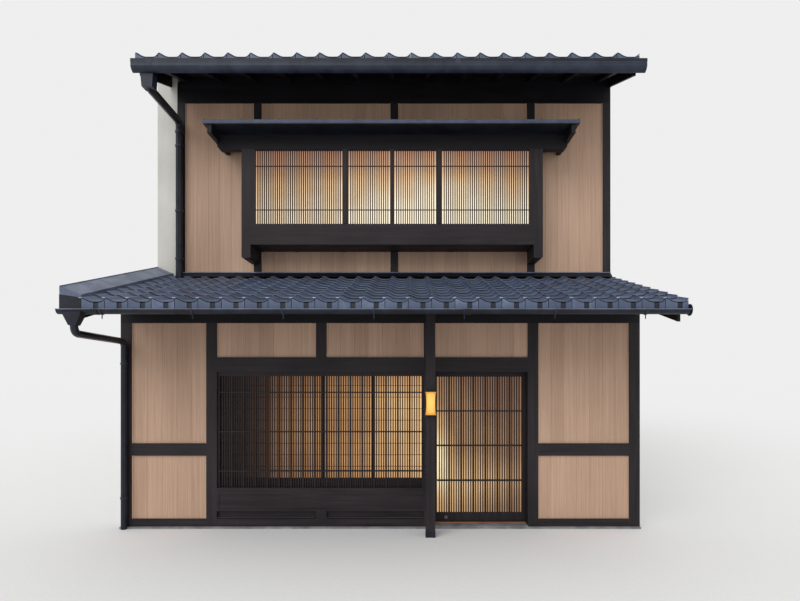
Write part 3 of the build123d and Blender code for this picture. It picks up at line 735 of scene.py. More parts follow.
class Palette:
    """All finishes of the house, made once."""

    def __init__(self) -> None:
        """Makes the materials."""
        self._timbers()
        self._boards_and_minerals()
        self._metals()
        self._lit_papers()
        self.glass = Pane("window_glass", srgb(70, 80, 86)).make()

    def _timbers(self) -> None:
        """Makes the stained timbers, near-black copies of the stain as painted shade under the
        eaves, and the thin bars that the paper lights.
        """
        stain = (srgb(24, 21, 24), srgb(50, 44, 48))
        # Stain darkened to near-black: painted shade of the eaves on the rafters and beams under
        # them
        deep = (srgb(12, 11, 14), srgb(28, 25, 30))
        slender = (srgb(22, 18, 20), srgb(46, 38, 40))
        self.post = Timber("stained_upright", *stain, Axis.Z).make()
        self.beam = Timber("stained_beam", *stain, Axis.X).make()
        self.rafter = Timber("shade_darkened_rafter", *deep, Axis.Y).make()
        self.shaded = Timber("shade_darkened_beam", *deep, Axis.X).make()
        self.bar = Timber("stained_bar", *slender, Axis.Z, rough=0.5).make()
        self.strip = Timber("stained_strip", *slender, Axis.X, rough=0.5).make()
        # Lighter strip finish: a painted highlight on the apron's edges
        self.edge_highlight = Timber("painted_edge_highlight", srgb(50, 45, 48), srgb(82, 74, 76), Axis.X).make()
        # Near-black deck boards: painted shade of the eaves; the bay's pegs take this finish too
        self.deck = Timber("deck_board", srgb(16, 14, 17), srgb(34, 30, 34), Axis.X,
                           rough=0.6).make()
        self.kumiko = Timber("screen_bar", srgb(112, 66, 34), srgb(158, 100, 56), Axis.X,
                             glow=0.34).make()

    def _boards_and_minerals(self) -> None:
        """Makes the boards, tiles, plaster and stone."""
        self.panel = Boarding("cedar_board", srgb(160, 128, 106), srgb(202, 168, 143)).make()
        self.bead = Boarding("cedar_bead", srgb(184, 152, 130), srgb(214, 183, 160)).make()
        self.floor_board = Boarding("floor_board", srgb(86, 64, 44), srgb(128, 98, 70)).make()
        # Its shade and glint colours are painted shade in the eave plates' recesses and a painted
        # highlight on the roll ends' beads
        self.tile = FiredClay("smoked_tile", srgb(48, 58, 80), srgb(84, 98, 124),
                              shade=srgb(22, 27, 38), glint=srgb(140, 154, 180)).make()
        self.wall = Mineral("lime_plaster", srgb(192, 190, 183), srgb(214, 212, 205)).make()
        self.stone = Mineral("cut_stone", srgb(96, 97, 100), srgb(146, 147, 149), cloud=6.0,
                             grain=160.0, relief=0.0015).make()

    def _metals(self) -> None:
        """Makes the sheet metals, from the darkest enamel to the bare ones."""
        self.enamel = SheetMetal("dark_enamel", srgb(14, 17, 25), srgb(32, 37, 50)).make()
        self.gutter = SheetMetal("gutter_enamel", srgb(30, 36, 50), srgb(48, 56, 74)).make()
        self.hem = SheetMetal("hem_enamel", srgb(56, 63, 80), srgb(80, 89, 110)).make()
        self.trim = SheetMetal("pale_enamel", srgb(84, 93, 114), srgb(118, 128, 150)).make()
        self.steel = SheetMetal("satin_steel", srgb(120, 122, 126), srgb(176, 178, 182),
                                metallic=0.9, rough=0.3).make()
        self.brass = SheetMetal("aged_brass", srgb(120, 88, 42), srgb(168, 128, 66),
                                metallic=0.8, rough=0.35).make()

    def _lit_papers(self) -> None:
        """Makes the paper of the window, the door, the bay and the lamp, each with its light."""
        self.window_paper = LitPaper(
            "window_paper",
            (srgb(40, 30, 30), srgb(160, 116, 84), srgb(220, 170, 118), srgb(248, 210, 154)),
            across=((-1.9, 0.0), (-1.6, 0.03), (-1.34, 0.14), (-1.22, 0.44), (-0.7, 0.56),
                    (-0.12, 0.66), (-0.06, 0.76), (0.5, 0.92)),
            up=((0.47, 0.8), (0.7, 0.92), (1.1, 1.0), (1.5, 0.95), (1.814, 0.7)),
            glow=1.0, least=0.5).make()
        self.door_paper = LitPaper(
            "door_paper",
            (srgb(66, 48, 44), srgb(156, 118, 92), srgb(226, 184, 134), srgb(255, 238, 194)),
            across=((0.66, 0.66), (0.84, 0.6), (1.2, 0.54), (1.68, 0.46)),
            up=((0.14, 0.95), (0.5, 1.0), (0.53, 0.95), (0.95, 0.84), (1.34, 0.74), (1.76, 0.6)),
            glow=1.0, least=0.55,
            pools=((0.7, 0.86, 0.2, 0.56, 0.5), (1.1, 0.54, 0.75, 0.34, 0.2))).make()
        # Its light falls towards the top as painted shade of the bay's roof; its violet darkest
        # colour is a painted sky reflection
        self.bay_paper = LitPaper(
            "bay_paper",
            (srgb(108, 80, 88), srgb(206, 156, 128), srgb(248, 208, 162), srgb(255, 242, 214)),
            across=((-1.66, 0.84), (-0.5, 0.92), (0.15, 1.02), (0.7, 1.05), (1.9, 0.96)),
            up=((3.68, 1.03), (3.86, 1.0), (4.2, 0.78), (4.38, 0.52), (4.62, 0.34)),
            glow=1.06, least=0.62).make()
        self.shade = LitPaper(
            "lamp_paper", (srgb(176, 98, 28), srgb(220, 156, 62), srgb(246, 206, 108)),
            across=((0.51, 0.45), (0.538, 0.9), (0.57, 1.0), (0.602, 0.9), (0.63, 0.45)),
            up=((1.35, 0.5), (1.38, 0.86), (1.475, 1.0), (1.57, 0.86), (1.6, 0.5)),
            glow=0.86, least=0.7).make()


def about(middle: float, half: float) -> Pair:
    """Limits at equal distances from a middle."""
    return (middle - half, middle + half)


def inner(limits: Pair, inset: float) -> Pair:
    """Limits moved towards each other, or apart by a negative inset."""
    return (limits[0] + inset, limits[1] - inset)


def ordered(first: float, second: float) -> Pair:
    """Two limits, the lower one first."""
    return (min(first, second), max(first, second))


def beyond(face: float, depths: Pair, sign: int = 1) -> Pair:
    """Limits at two distances from a face, to the side of the sign, the lower one first."""
    return ordered(face + sign * depths[0], face + sign * depths[1])


def half_turn(start: float, steps: int) -> list[float]:
    """Angles of a half circle, from its start up."""
    return [start + math.pi * i / steps for i in range(steps + 1)]


def circle(centre: Pair, radius: float, sides: int) -> list[Pair]:
    """Corners of a round section.

    Args:
        centre: Its middle.
        radius: Its radius.
        sides: Number of corners.

    Returns:
        The corners, counter-clockwise.
    """
    turns = [2 * math.pi * i / sides for i in range(sides)]
    return [(centre[0] + radius * math.cos(turn), centre[1] + radius * math.sin(turn))
            for turn in turns]


def solids(node: bpy.types.Object) -> list[Box]:
    """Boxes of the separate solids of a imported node.

    Args:
        node: The node's object.

    Returns:
        Lowest and highest corner of each solid, in order.
    """
    keys = [tuple(round(value, 4) for value in vertex.co) for vertex in node.data.vertices]
    parent = {key: key for key in keys}

    def root(key: Point) -> Point:
        """Finds the corner that stands for a solid.

        Args:
            key: A corner of the solid.

        Returns:
            The corner that stands for it.
        """
        while parent[key] != key:
            parent[key] = parent[parent[key]]
            key = parent[key]
        return key

    for polygon in node.data.polygons:
        first = root(keys[polygon.vertices[0]])
        for index in polygon.vertices[1:]:
            parent[root(keys[index])] = first
    groups: dict[Point, list[Point]] = {}
    for key in parent:
        groups.setdefault(root(key), []).append(key)
    boxes = []
    for group in groups.values():
        low = tuple(min(point[axis] for point in group) for axis in range(3))
        high = tuple(max(point[axis] for point in group) for axis in range(3))
        boxes.append((low, high))
    return sorted(boxes)


@dataclass
class MeshMaker:
    """Collects corners and faces of a piece, and makes it.

    Attributes:
        name: Name of the piece.
        points: Corners.
        faces: Faces as corner numbers.
        tones: A tone from zero to one for each face, for tiles.
    """

    name: str
    points: list[Point] = field(default_factory=list)
    faces: list[tuple[int, ...]] = field(default_factory=list)
    tones: list[float] = field(default_factory=list)

    def face(self, corners: list[Point], tone: float) -> None:
        """Adds one face.

        Args:
            corners: Its corners in order.
            tone: Its tone.
        """
        start = len(self.points)
        self.points.extend(corners)
        self.faces.append(tuple(range(start, start + len(corners))))
        self.tones.append(tone)

    def grid(self, rows: list[list[Point]], tone: float) -> None:
        """Adds a sheet of faces that share corners.

        Args:
            rows: Rows of corners, all of one length.
            tone: Tone of its faces.
        """
        start = len(self.points)
        width = len(rows[0])
        for row in rows:
            self.points.extend(row)
        for i in range(len(rows) - 1):
            for j in range(width - 1):
                a = start + i * width + j
                self.faces.append((a, a + 1, a + width + 1, a + width))
                self.tones.append(tone)

    def box(self, x: Pair, y: Pair, z: Pair, tone: float = MIDDLE_TONE, ease: float = 0.0) -> None:
        """Adds a block, with eased edges if asked.

        Args:
            x: Limits along X.
            y: Limits along Y.
            z: Limits along Z.
            tone: Tone of its faces.
            ease: Width of the bevel on its long edges.
        """
        section = [(y[0], z[0]), (y[1], z[0]), (y[1], z[1]), (y[0], z[1])]
        if ease:
            section = [
                (y[0] + ease, z[0]), (y[1] - ease, z[0]), (y[1], z[0] + ease), (y[1], z[1] - ease),
                (y[1] - ease, z[1]), (y[0] + ease, z[1]), (y[0], z[1] - ease), (y[0], z[0] + ease)]
        self.prism_x(x, section, tone)

    def prism_x(self, x: Pair, section: list[Pair], tone: float = MIDDLE_TONE) -> None:
        """Adds a prism between two ends; its section is Y and Z, counter-clockwise from +X."""
        self._prism([[(place, y, z) for y, z in section] for place in x], tone)

    def prism_y(self, y: Pair, section: list[Pair], tone: float = MIDDLE_TONE) -> None:
        """Adds a prism between two ends; its section is X and Z, counter-clockwise from -Y."""
        self._prism([[(x, place, z) for x, z in section] for place in (max(y), min(y))], tone)

    def prism_z(self, z: Pair, section: list[Pair], tone: float = MIDDLE_TONE) -> None:
        """Adds a prism between two ends; its section is X and Y, counter-clockwise from +Z."""
        self._prism([[(x, y, place) for x, y in section] for place in z], tone)

    def _prism(self, ends: list[list[Point]], tone: float) -> None:
        """Adds two end faces and the sides between them.

        Args:
            ends: Corners of the two ends, counter-clockwise seen from beyond the second.
            tone: Tone of the faces.
        """
        start = len(self.points)
        count = len(ends[0])
        for corners in ends:
            self.points.extend(corners)
        for i in range(count):
            j = (i + 1) % count
            self.faces.append((start + i, start + j, start + count + j, start + count + i))
        self.faces.append(tuple(start + i for i in reversed(range(count))))
        self.faces.append(tuple(start + count + i for i in range(count)))
        self.tones.extend([tone] * (count + 2))

    def sweep(self, path: list[Point], radius: float, sides: int = 8) -> None:
        """Adds a round rod along a path.

        Args:
            path: Middle line.
            radius: Radius of the rod.
            sides: Sides of its section.
        """
        start = len(self.points)
        line = [Vector(place) for place in path]
        for i, place in enumerate(line):
            ahead = (line[min(i + 1, len(line) - 1)] - line[max(i - 1, 0)]).normalized()
            guide = Vector((0, 0, 1)) if abs(ahead.z) < 0.9 else Vector((1, 0, 0))
            across = ahead.cross(guide).normalized()
            up = across.cross(ahead)
            for k in range(sides):
                angle = 2 * math.pi * k / sides
                point = place + radius * (math.cos(angle) * across + math.sin(angle) * up)
                self.points.append(tuple(point))
        for i in range(len(line) - 1):
            for k in range(sides):
                a, b = start + i * sides + k, start + i * sides + (k + 1) % sides
                self.faces.append((a, a + sides, b + sides, b))
                self.tones.append(MIDDLE_TONE)
        self.faces.append(tuple(start + k for k in range(sides)))
        last = start + (len(line) - 1) * sides
        self.faces.append(tuple(last + k for k in reversed(range(sides))))
        self.tones.extend([MIDDLE_TONE] * 2)

    def make(self, material: bpy.types.Material, slot: Slot, body: Body = Body.HOUSE,
             smooth: float | None = None) -> bpy.types.Object:
        """Makes the piece and puts it on its body.

        Args:
            material: Its finish.
            slot: The record's material slot; not used.
            body: The body that it rides on.
            smooth: Greatest angle in degrees that is shaded smooth.

        Returns:
            The piece.
        """
        mesh = bpy.data.meshes.new(self.name)
        mesh.from_pydata(self.points, [], self.faces)
        mesh.validate()
        mesh.update()
        layer = mesh.attributes.new("tone", "FLOAT", "FACE")
        layer.data.foreach_set("value", self.tones[: len(mesh.polygons)])
        mesh.materials.append(material)
        piece = bpy.data.objects.new(self.name, mesh)
        bpy.context.scene.collection.objects.link(piece)
        if smooth is not None:
            mesh.shade_smooth()
            mesh.set_sharp_from_angle(angle=math.radians(smooth))
        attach(piece, body.value)
        LOG.info("%s: %d faces", self.name, len(mesh.polygons))
        return piece


@dataclass(frozen=True)
class Slope:
    """One roof slope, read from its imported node.

    Attributes:
        side: Street or garden side.
        x: Limits across.
        eave_y: Distance of the eave from the middle of the plan.
        top_y: Distance of the upper end.
        eave_z: Height of the bed at the eave.
        rise: Rise for each metre of run.
    """

    side: Side
    x: Pair
    eave_y: float
    top_y: float
    eave_z: float
    rise: float

    @classmethod
    def of(cls, node: bpy.types.Object, side: Side) -> Slope:
        """Reads a slope from a packed slab.

        Args:
            node: The slab's object.
            side: The side it is on.

        Returns:
            The slope of its upper face.
        """
        corners = [vertex.co for vertex in node.data.vertices]
        outs = [corner.y * side.value for corner in corners]
        eave_y, top_y = max(outs), min(outs)
        eave_z = max(c.z for c, out in zip(corners, outs) if out > eave_y - SAME_FACE)
        top_z = max(c.z for c, out in zip(corners, outs) if out < top_y + SAME_FACE)
        xs = [corner.x for corner in corners]
        return cls(side, (min(xs), max(xs)), eave_y, top_y, eave_z,
                   (top_z - eave_z) / (eave_y - top_y))

    def height(self, out: float) -> float:
        """Height of the bed at a distance from the middle of the plan."""
        return self.eave_z + self.rise * (self.eave_y - out)

    def point(self, x: float, out: float, lift: float) -> Point:
        """A point at a place across and a distance from the middle, lifted off the bed."""
        return (x, self.side.value * out, self.height(out) + lift)


@dataclass
class Assembly(ABC):
    """A sub-assembly of the house, which makes its own pieces and dresses them.

    Where a thin piece has a pair for its thickness, the pair gives the distances of its two
    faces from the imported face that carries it.

    Attributes:
        palette: The finishes.
        nodes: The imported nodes.
    """

    palette: Palette
    nodes: Nodes

    @abstractmethod
    def make(self) -> None:
        """Makes the pieces."""


@dataclass(frozen=True)
class TileForm:
    """Section of a pan tile: a roll at its left edge that falls to a flat pan.

    Attributes:
        roll: Height of the roll.
        thickness: Thickness of the clay.
        bead: Half height of the bead on a roll's end at the eave, which carries a painted
            highlight, zero for none.
        bed: Height of the bed under the clay.
        stops: Places across the tile and the share of the roll's height there.
    """

    roll: float = 0.036
    thickness: float = 0.017
    bead: float = 0.0
    bed: float = 0.004
    stops: Stops = (
        (0.0, 0.94), (0.03, 1.0), (0.065, 0.99), (0.11, 0.88), (0.16, 0.73), (0.22, 0.53),
        (0.29, 0.31), (0.36, 0.14), (0.43, 0.04), (0.5, 0.0), (0.68, 0.0), (0.82, 0.02),
        (0.88, 0.14), (0.94, 0.42), (1.0, 0.78),
    )

    def height(self, share: float) -> float:
        """Height of the upper face over the pan.

        Args:
            share: Place across the tile from zero to one.

        Returns:
            The height in metres.
        """
        for (a, low), (b, high) in zip(self.stops, self.stops[1:]):
            if share <= b:
                return self.roll * (low + (high - low) * (share - a) / (b - a))
        return self.roll * self.stops[-1][1]


@dataclass
class TiledSlope(Assembly):
    """The tiles of one slope, course over course, with their eave course."""

    name: str
    slope: Slope
    # Width and length of a tile that show
    pitch: float
    exposure: float
    form: TileForm
    # Depth of the eave tiles' hanging plate
    drop: float
    seed: int
    x: Pair
    # Gap at each side of a tile
    gap: float = 0.0015
    overlap: float = 0.02
    ease: float = 0.004
    # Height of a tile's lower edge, and depth of its underside
    lip: float = 0.009
    tuck: float = 0.03
    # Height of a tile's sides over the bed
    seat: float = 0.002
    eave_lap: float = 0.012
    # Greatest unevenness of a tile's height and of its lower edge
    tip: float = 0.0012
    skew: float = 0.002
    # Lowest tone of a tile, and the span over it
    tones: Pair = (0.25, 0.5)
    # Thickness of the hanging plate, the places across a tile where its fields meet,
    # the fields' depths, and the ends of a full and a recessed field over the pan
    plate: float = 0.014
    cuts: tuple[float, ...] = (0.014, 0.52, 0.74, 0.986)
    recesses: tuple[float, ...] = (0.0, 0.008, 0.0)
    field_tops: Pair = (0.001, -0.004)
    # Bead on a roll's end, a painted highlight: its middle and half width as shares of a tile
    bead_place: Pair = (-0.03, 0.085)
    bead_sink: float = 0.006
    bead_depth: float = 0.004
    # Painted light on the eave tiles: lighter plates, painted shade in the recesses, a painted
    # highlight on the beads
    plate_light: float = 0.3
    recess_shade: float = -0.7
    glint_tone: float = 1.5

    def make(self) -> None:
        """Makes the piece."""
        chance = random.Random(self.seed)
        maker = MeshMaker(self.name)
        slope = self.slope
        columns = max(1, round((self.x[1] - self.x[0]) / self.pitch))
        width = (self.x[1] - self.x[0]) / columns
        run = slope.eave_y - slope.top_y
        courses = max(1, round(run / self.exposure))
        step = run / courses
        for row in range(courses):
            for column in range(columns):
                self._tile(maker, chance, row, self.x[0] + column * width, width, step,
                           row == courses - 1)
        maker.make(self.palette.tile, Slot.TILE, smooth=38)

    def _tile(self, maker: MeshMaker, chance: random.Random, row: int, x0: float, width: float,
              step: float, last: bool) -> None:
        """Adds one tile.

        Args:
            maker: The piece.
            chance: Source of small unevenness.
            row: Number of the course from the eave.
            x0: Left edge.
            width: Width.
            step: Run of a course.
            last: Whether it is the uppermost course.
        """
        slope, form = self.slope, self.form
        tone = self.tones[0] + self.tones[1] * chance.random()
        tip = chance.uniform(-self.tip, self.tip)
        skew = chance.uniform(-self.skew, self.skew)
        front = slope.eave_y - row * step + (self.eave_lap if row == 0 else 0.0)
        back = slope.eave_y - (row + 1) * step - (0.0 if last else self.overlap)
        rows: list[list[Point]] = [[], [], [], [], []]
        for share, _ in form.stops:
            x = x0 + self.gap + share * (width - 2 * self.gap)
            lift = form.height(share) + form.thickness + form.bed + tip
            y = front + skew * (share - 0.5)
            rows[0].append(slope.point(x, y - self.tuck, lift - self.lip))
            rows[1].append(slope.point(x, y, lift - self.lip))
            rows[2].append(slope.point(x, y, lift - self.ease))
            rows[3].append(slope.point(x, y - self.ease, lift))
            rows[4].append(slope.point(x, back, lift - form.thickness))
        left, right = [
            [slope.point(x, front - self.tuck, self.seat), *(line[end] for line in rows),
             slope.point(x, back, self.seat)]
            for x, end in ((x0 + self.gap, 0), (x0 + width - self.gap, -1))]
        if slope.side is Side.REAR:
            rows = [list(reversed(line)) for line in rows]
            right.reverse()
        else:
            left.reverse()
        maker.grid(rows, tone)
        maker.face(left, tone)
        maker.face(right, tone)
        if row == 0:
            self._eave_plate(maker, x0, width, front, tone)

    def _eave_plate(self, maker: MeshMaker, x0: float, width: float, front: float,
                    tone: float) -> None:
        """Adds the hanging front of an eave tile: a plate lightened as painted light, a recess
        darkened as painted shade, and the roll's end with a painted highlight.

        Args:
            maker: The piece.
            x0: Left edge of the tile.
            width: Width of the tile.
            front: Distance of the tile's front.
            tone: Tone of the tile.
        """
        slope, form = self.slope, self.form
        sign = slope.side.value
        # Painted light: the plate is made lighter than its tile
        tone = min(1.0, tone + self.plate_light)
        base = slope.height(front) + form.bed
        foot = slope.eave_z - self.drop
        # A recessed field takes a dark tone as painted shade
        for (a, b), deep in zip(zip(self.cuts, self.cuts[1:]), self.recesses):
            shares = [a, *(share for share, _ in form.stops if a < share < b), b]
            lift = self.field_tops[1] if deep else self.field_tops[0]
            top = [(x0 + share * width, base + form.height(share) + lift) for share in shares]
            section = [(x0 + a * width, foot), (x0 + b * width, foot), *reversed(top)]
            maker.prism_y((sign * (front - self.plate - deep), sign * (front - deep)), section,
                          self.recess_shade if deep else tone)
        # The bead's glint tone is a painted highlight
        if form.bead:
            middle = x0 + self.bead_place[0] * width
            height = base + form.roll + form.thickness - self.bead_sink
            section = [(middle + self.bead_place[1] * width * cx, height + form.bead * cz)
                       for cx, cz in circle((0.0, 0.0), 1.0, sides=12)]
            maker.prism_y(about(sign * front, self.bead_depth), section, self.glint_tone)


@dataclass
class Roofs(Assembly):
    """The four tiled slopes."""

    pent_tile: TileForm = TileForm(bead=0.006)
    # Width and length of a tile that show, and depth of its hanging plate
    pent_size: Pair = (0.222, 0.2)
    pent_drop: float = 0.056
    upper_tile: TileForm = TileForm(roll=0.048, bed=0.012)
    upper_size: Pair = (0.269, 0.235)
    upper_drop: float = 0.05
    verge: float = 0.004
    capping_gap: float = 0.006
    # Seed of the first slope
    seed: int = 11

    def make(self) -> None:
        """Makes the pieces."""
        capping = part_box("pent_cappings")[1]
        seeds = itertools.count(self.seed)
        for side in Side:
            pent = Slope.of(self.nodes[f"pent_roof_{side.word}"], side)
            TiledSlope(self.palette, self.nodes, f"pent_tiles_{side.word}", pent,
                       *self.pent_size, self.pent_tile, self.pent_drop, next(seeds),
                       (capping[0] + self.capping_gap, pent.x[1] - self.verge)).make()
            upper = Slope.of(self.nodes[f"upper_roof_{side.word}"], side)
            TiledSlope(self.palette, self.nodes, f"upper_tiles_{side.word}", upper,
                       *self.upper_size, self.upper_tile, self.upper_drop, next(seeds),
                       inner(upper.x, self.verge)).make()


@dataclass
class Ridge(Assembly):
    """The ridge: stepped courses of flat tiles under a row of half-round caps."""

    cap_radius: float = 0.072
    cap_gap: float = 0.003
    band: float = 0.05
    band_rise: float = 0.006
    courses: int = 5
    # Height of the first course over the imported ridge's foot
    foot: float = 0.045
    length: float = 0.3
    half_width: float = 0.118
    # How far each course lies inside the one under it
    step_in: float = 0.009
    # Gap at a tile's ends and foot, and over it
    joint: float = 0.0015
    bed_joint: float = 0.0025
    ease: float = 0.003
    seed: int = 5

    def make(self) -> None:
        """Makes the piece."""
        low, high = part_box("roof_ridge")
        chance = random.Random(self.seed)
        maker = MeshMaker("ridge_tiles")
        cap_base = high[2] - self.cap_radius - self.cap_gap
        bottom = low[2] + self.foot
        thick = (cap_base - bottom) / self.courses
        count = round((high[0] - low[0]) / self.length)
        length = (high[0] - low[0]) / count
        for course in range(self.courses):
            half = self.half_width - self.step_in * course
            z0 = bottom + course * thick
            odd = course % 2
            for i in range(count + odd):
                x0 = low[0] + (i - 0.5 * odd) * length
                x1 = min(x0 + length, high[0]) - self.joint
                x0 = max(x0, low[0]) + self.joint
                maker.box((x0, x1), (-half, half),
                          (z0 + self.joint, z0 + thick - self.bed_joint),
                          chance.random(), self.ease)
        for i in range(count):
            x0 = low[0] + i * length
            self._cap(maker, inner((x0, x0 + length), self.joint), cap_base, chance.random())
        piece = maker.make(self.palette.tile, Slot.TILE, smooth=40)
        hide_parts("roof_ridge")

    def _cap(self, maker: MeshMaker, x: Pair, base: float, tone: float) -> None:
        """Adds a half-round cap tile with a raised band at one end.

        Args:
            maker: The piece.
            x: Its ends.
            base: Height of its foot.
            tone: Tone of the tile.
        """
        turns = half_turn(0.0, steps=12)
        for ends, size in ((x, self.cap_radius - self.band_rise),
                           ((x[1] - self.band, x[1]), self.cap_radius)):
            maker.prism_x(ends, [(size * math.cos(turn), base + size * math.sin(turn))
                                 for turn in turns], tone)


@dataclass
class Soffits(Assembly):
    """Deck boards between the rafters, which show from the street."""

    pent_board: float = 0.15
    upper_board: float = 0.18
    # Distance from the ridge at which the upper boards end
    upper_end: float = 2.6
    eave_gap: float = 0.02
    joint: float = 0.003
    # Depths of a board's lower and upper face under the slab
    faces: Pair = (0.0035, 0.0005)
    verge: float = 0.032
    inset: float = 0.001
    # Width up to which a space between rafters gets no boards
    narrow: float = 0.02

    def make(self) -> None:
        """Makes the pieces."""
        for side in Side:
            self._boards(Roof.PENT, side, self.pent_board, 0.0)
            self._boards(Roof.UPPER, side, self.upper_board, self.upper_end)

    def _boards(self, roof: Roof, side: Side, board: float, end: float) -> None:
        """Makes the boards under one slab, out to its eave.

        Args:
            roof: Which roof.
            side: Street or garden side.
            board: Width of a board.
            end: Distance from the slab's upper end at which the boards end.
        """
        node = self.nodes[f"{roof.value}_roof_{side.word}"]
        slope = Slope.of(node, side)
        under = min(v.co.z for v in node.data.vertices) - slope.eave_z
        spans = self._spans(roof)
        maker = MeshMaker(f"{roof.value}_deck_boards_{side.word}")
        stop = slope.top_y + end
        for i in range(int((slope.eave_y - self.eave_gap - stop) / board)):
            outer = slope.eave_y - self.eave_gap - i * board
            near = outer - board + self.joint
            section = [(side.value * out, slope.height(out) + under - depth)
                       for out, depth in ((outer, self.faces[0]), (near, self.faces[0]),
                                          (near, self.faces[1]), (outer, self.faces[1]))]
            if side is Side.REAR:
                section.reverse()
            for span in spans:
                maker.prism_x(span, section)
        # The boards' near-black finish is painted shade of the eaves
        maker.make(self.palette.deck, Slot.TIMBER)

    def _spans(self, roof: Roof) -> list[Pair]:
        """Clear spans between rafters and verge boards.

        Args:
            roof: Which roof.

        Returns:
            Limits of each span along X.
        """
        rafters = self.nodes[f"{roof.value}_rafters"].data.vertices
        xs = sorted({round(v.co.x, 4) for v in rafters})
        low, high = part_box(f"{roof.value}_roof_front")
        edges = [low[0] + self.verge, *xs, high[0] - self.verge]
        return [inner((a, b), self.inset) for a, b in zip(edges[::2], edges[1::2])
                if b - a > self.narrow]


@dataclass
class WindowKumiko(Assembly):
    """Fine bars, rails and stiles on the paper screens of the ground window."""

    depth: float = 0.014
    foot: float = 0.1
    head: float = 0.045
    half: float = 0.003
    step: float = 0.1359
    # How far the level and the upright bars lie behind the rails' front
    level_back: float = 0.003
    upright_back: float = 0.006
    uprights: tuple[float, ...] = (-1.72, -1.55, -1.38)
    # Place across from which the paper lights the bars, and the gap there
    lit: float = -1.32
    split: float = 0.0004
    # Middle and half width of each stile
    stiles: Stops = ((-0.684, 0.019), (-0.084, 0.012))
    stile_proud: float = 0.002
    inset: float = 0.001
    gap: float = 0.0002
    ease: float = 0.002

    def make(self) -> None:
        """Makes the pieces."""
        low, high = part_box("window_screen")
        front, back = low[1] - self.depth, low[1] - self.gap
        across = inner((low[0], high[0]), self.inset)
        upright = inner((low[2], high[2]), self.inset)
        foot, head = low[2] + self.foot, high[2] - self.head
        bars = MeshMaker("window_kumiko")
        unlit = MeshMaker("window_kumiko_unlit")
        z = foot
        while z < head:
            y, heights = (front + self.level_back, back), about(z, self.half)
            bars.box((self.lit, across[1]), y, heights)
            unlit.box((across[0], self.lit - self.split), y, heights)
            z += self.step
        unlit.make(self.palette.strip, Slot.TIMBER)
        for x in self.uprights:
            bars.box(about(x, self.half), (front + self.upright_back, back), (foot, head))
        bars.make(self.palette.kumiko, Slot.TIMBER)
        rails = MeshMaker("window_sashes")
        for z_limits in ((upright[0], foot), (head, upright[1])):
            rails.box(across, (front, back), z_limits, ease=self.ease)
        for x, half in self.stiles:
            rails.box(about(x, half), (front - self.stile_proud, back), upright)
        rails.make(self.palette.strip, Slot.TIMBER)


@dataclass
class DoorKumiko(Assembly):
    """Thin bars on the room side of the sliding door's paper."""

    # Fields of paper up and across the door
    rows: int = 6
    columns: int = 3
    half: float = 0.003
    level_depth: float = 0.004
    upright_depth: float = 0.003
    inset: float = 0.001
    gap: float = 0.0002

    def make(self) -> None:
        """Makes the piece."""
        low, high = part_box("door_screen")
        bars = MeshMaker("door_kumiko")
        step = (high[2] - low[2]) / self.rows
        for i in range(1, self.rows):
            bars.box(inner((low[0], high[0]), self.inset),
                     (high[1] + self.gap, high[1] + self.level_depth),
                     about(low[2] + i * step, self.half))
        for i in range(1, self.columns):
            bars.box(about(low[0] + i * (high[0] - low[0]) / self.columns, self.half),
                     (high[1] + self.gap, high[1] + self.upright_depth),
                     inner((low[2], high[2]), self.inset))
        bars.make(self.palette.kumiko, Slot.TIMBER, Body.DOOR)


@dataclass
class Boards(Assembly):
    """Cedar boards on the infill panels, edge to edge, with a bead along each post."""

    width: float = 0.16
    proud: float = 0.004
    ease: float = 0.0014
    # Half the gap between two boards
    joint: float = 0.0003
    bead_width: float = 0.01
    bead_proud: float = 0.009
    inset: float = 0.0005
    seed: int = 21

    def make(self) -> None:
        """Makes the pieces."""
        chance = random.Random(self.seed)
        for name, side in (("front_panels", Side.FRONT), ("upper_front_panels", Side.FRONT),
                           ("rear_panels", Side.REAR)):
            boards, beads = MeshMaker(f"{name}_boards"), MeshMaker(f"{name}_beads")
            for low, high in solids(self.nodes[name]):
                self._panel(boards, beads, chance, low, high, side)
            boards.make(self.palette.panel, Slot.BOARD)
            beads.make(self.palette.bead, Slot.BOARD)

    def _panel(self, boards: MeshMaker, beads: MeshMaker, chance: random.Random, low: Point,
               high: Point, side: Side) -> None:
        """Adds the boards and beads of one panel.

        Args:
            boards: The boards.
            beads: The beads.
            chance: Source of the boards' tones.
            low: Lowest corner of the panel.
            high: Highest corner of the panel.
            side: Side that it faces.
        """
        back = low[1] if side is Side.FRONT else high[1]
        front = back + side.value * self.proud
        near, far = ordered(back, front)
        z = inner((low[2], high[2]), self.inset)
        count = max(1, round((high[0] - low[0]) / self.width))
        width = (high[0] - low[0]) / count
        ease = self.ease
        for i in range(count):
            x0, x1 = inner((low[0] + i * width, low[0] + (i + 1) * width), self.joint)
            if side is Side.FRONT:
                section = [(x0 + ease, near), (x1 - ease, near), (x1, near + ease), (x1, far),
                           (x0, far), (x0, near + ease)]
            else:
                section = [(x0, near), (x1, near), (x1, far - ease), (x1 - ease, far),
                           (x0 + ease, far), (x0, far - ease)]
            boards.prism_z(z, section, chance.random())
        y = ordered(front, front + side.value * self.bead_proud)
        for x0 in (low[0] + self.inset, high[0] - self.bead_width - self.inset):
            beads.box((x0, x0 + self.bead_width), y, z, chance.random())


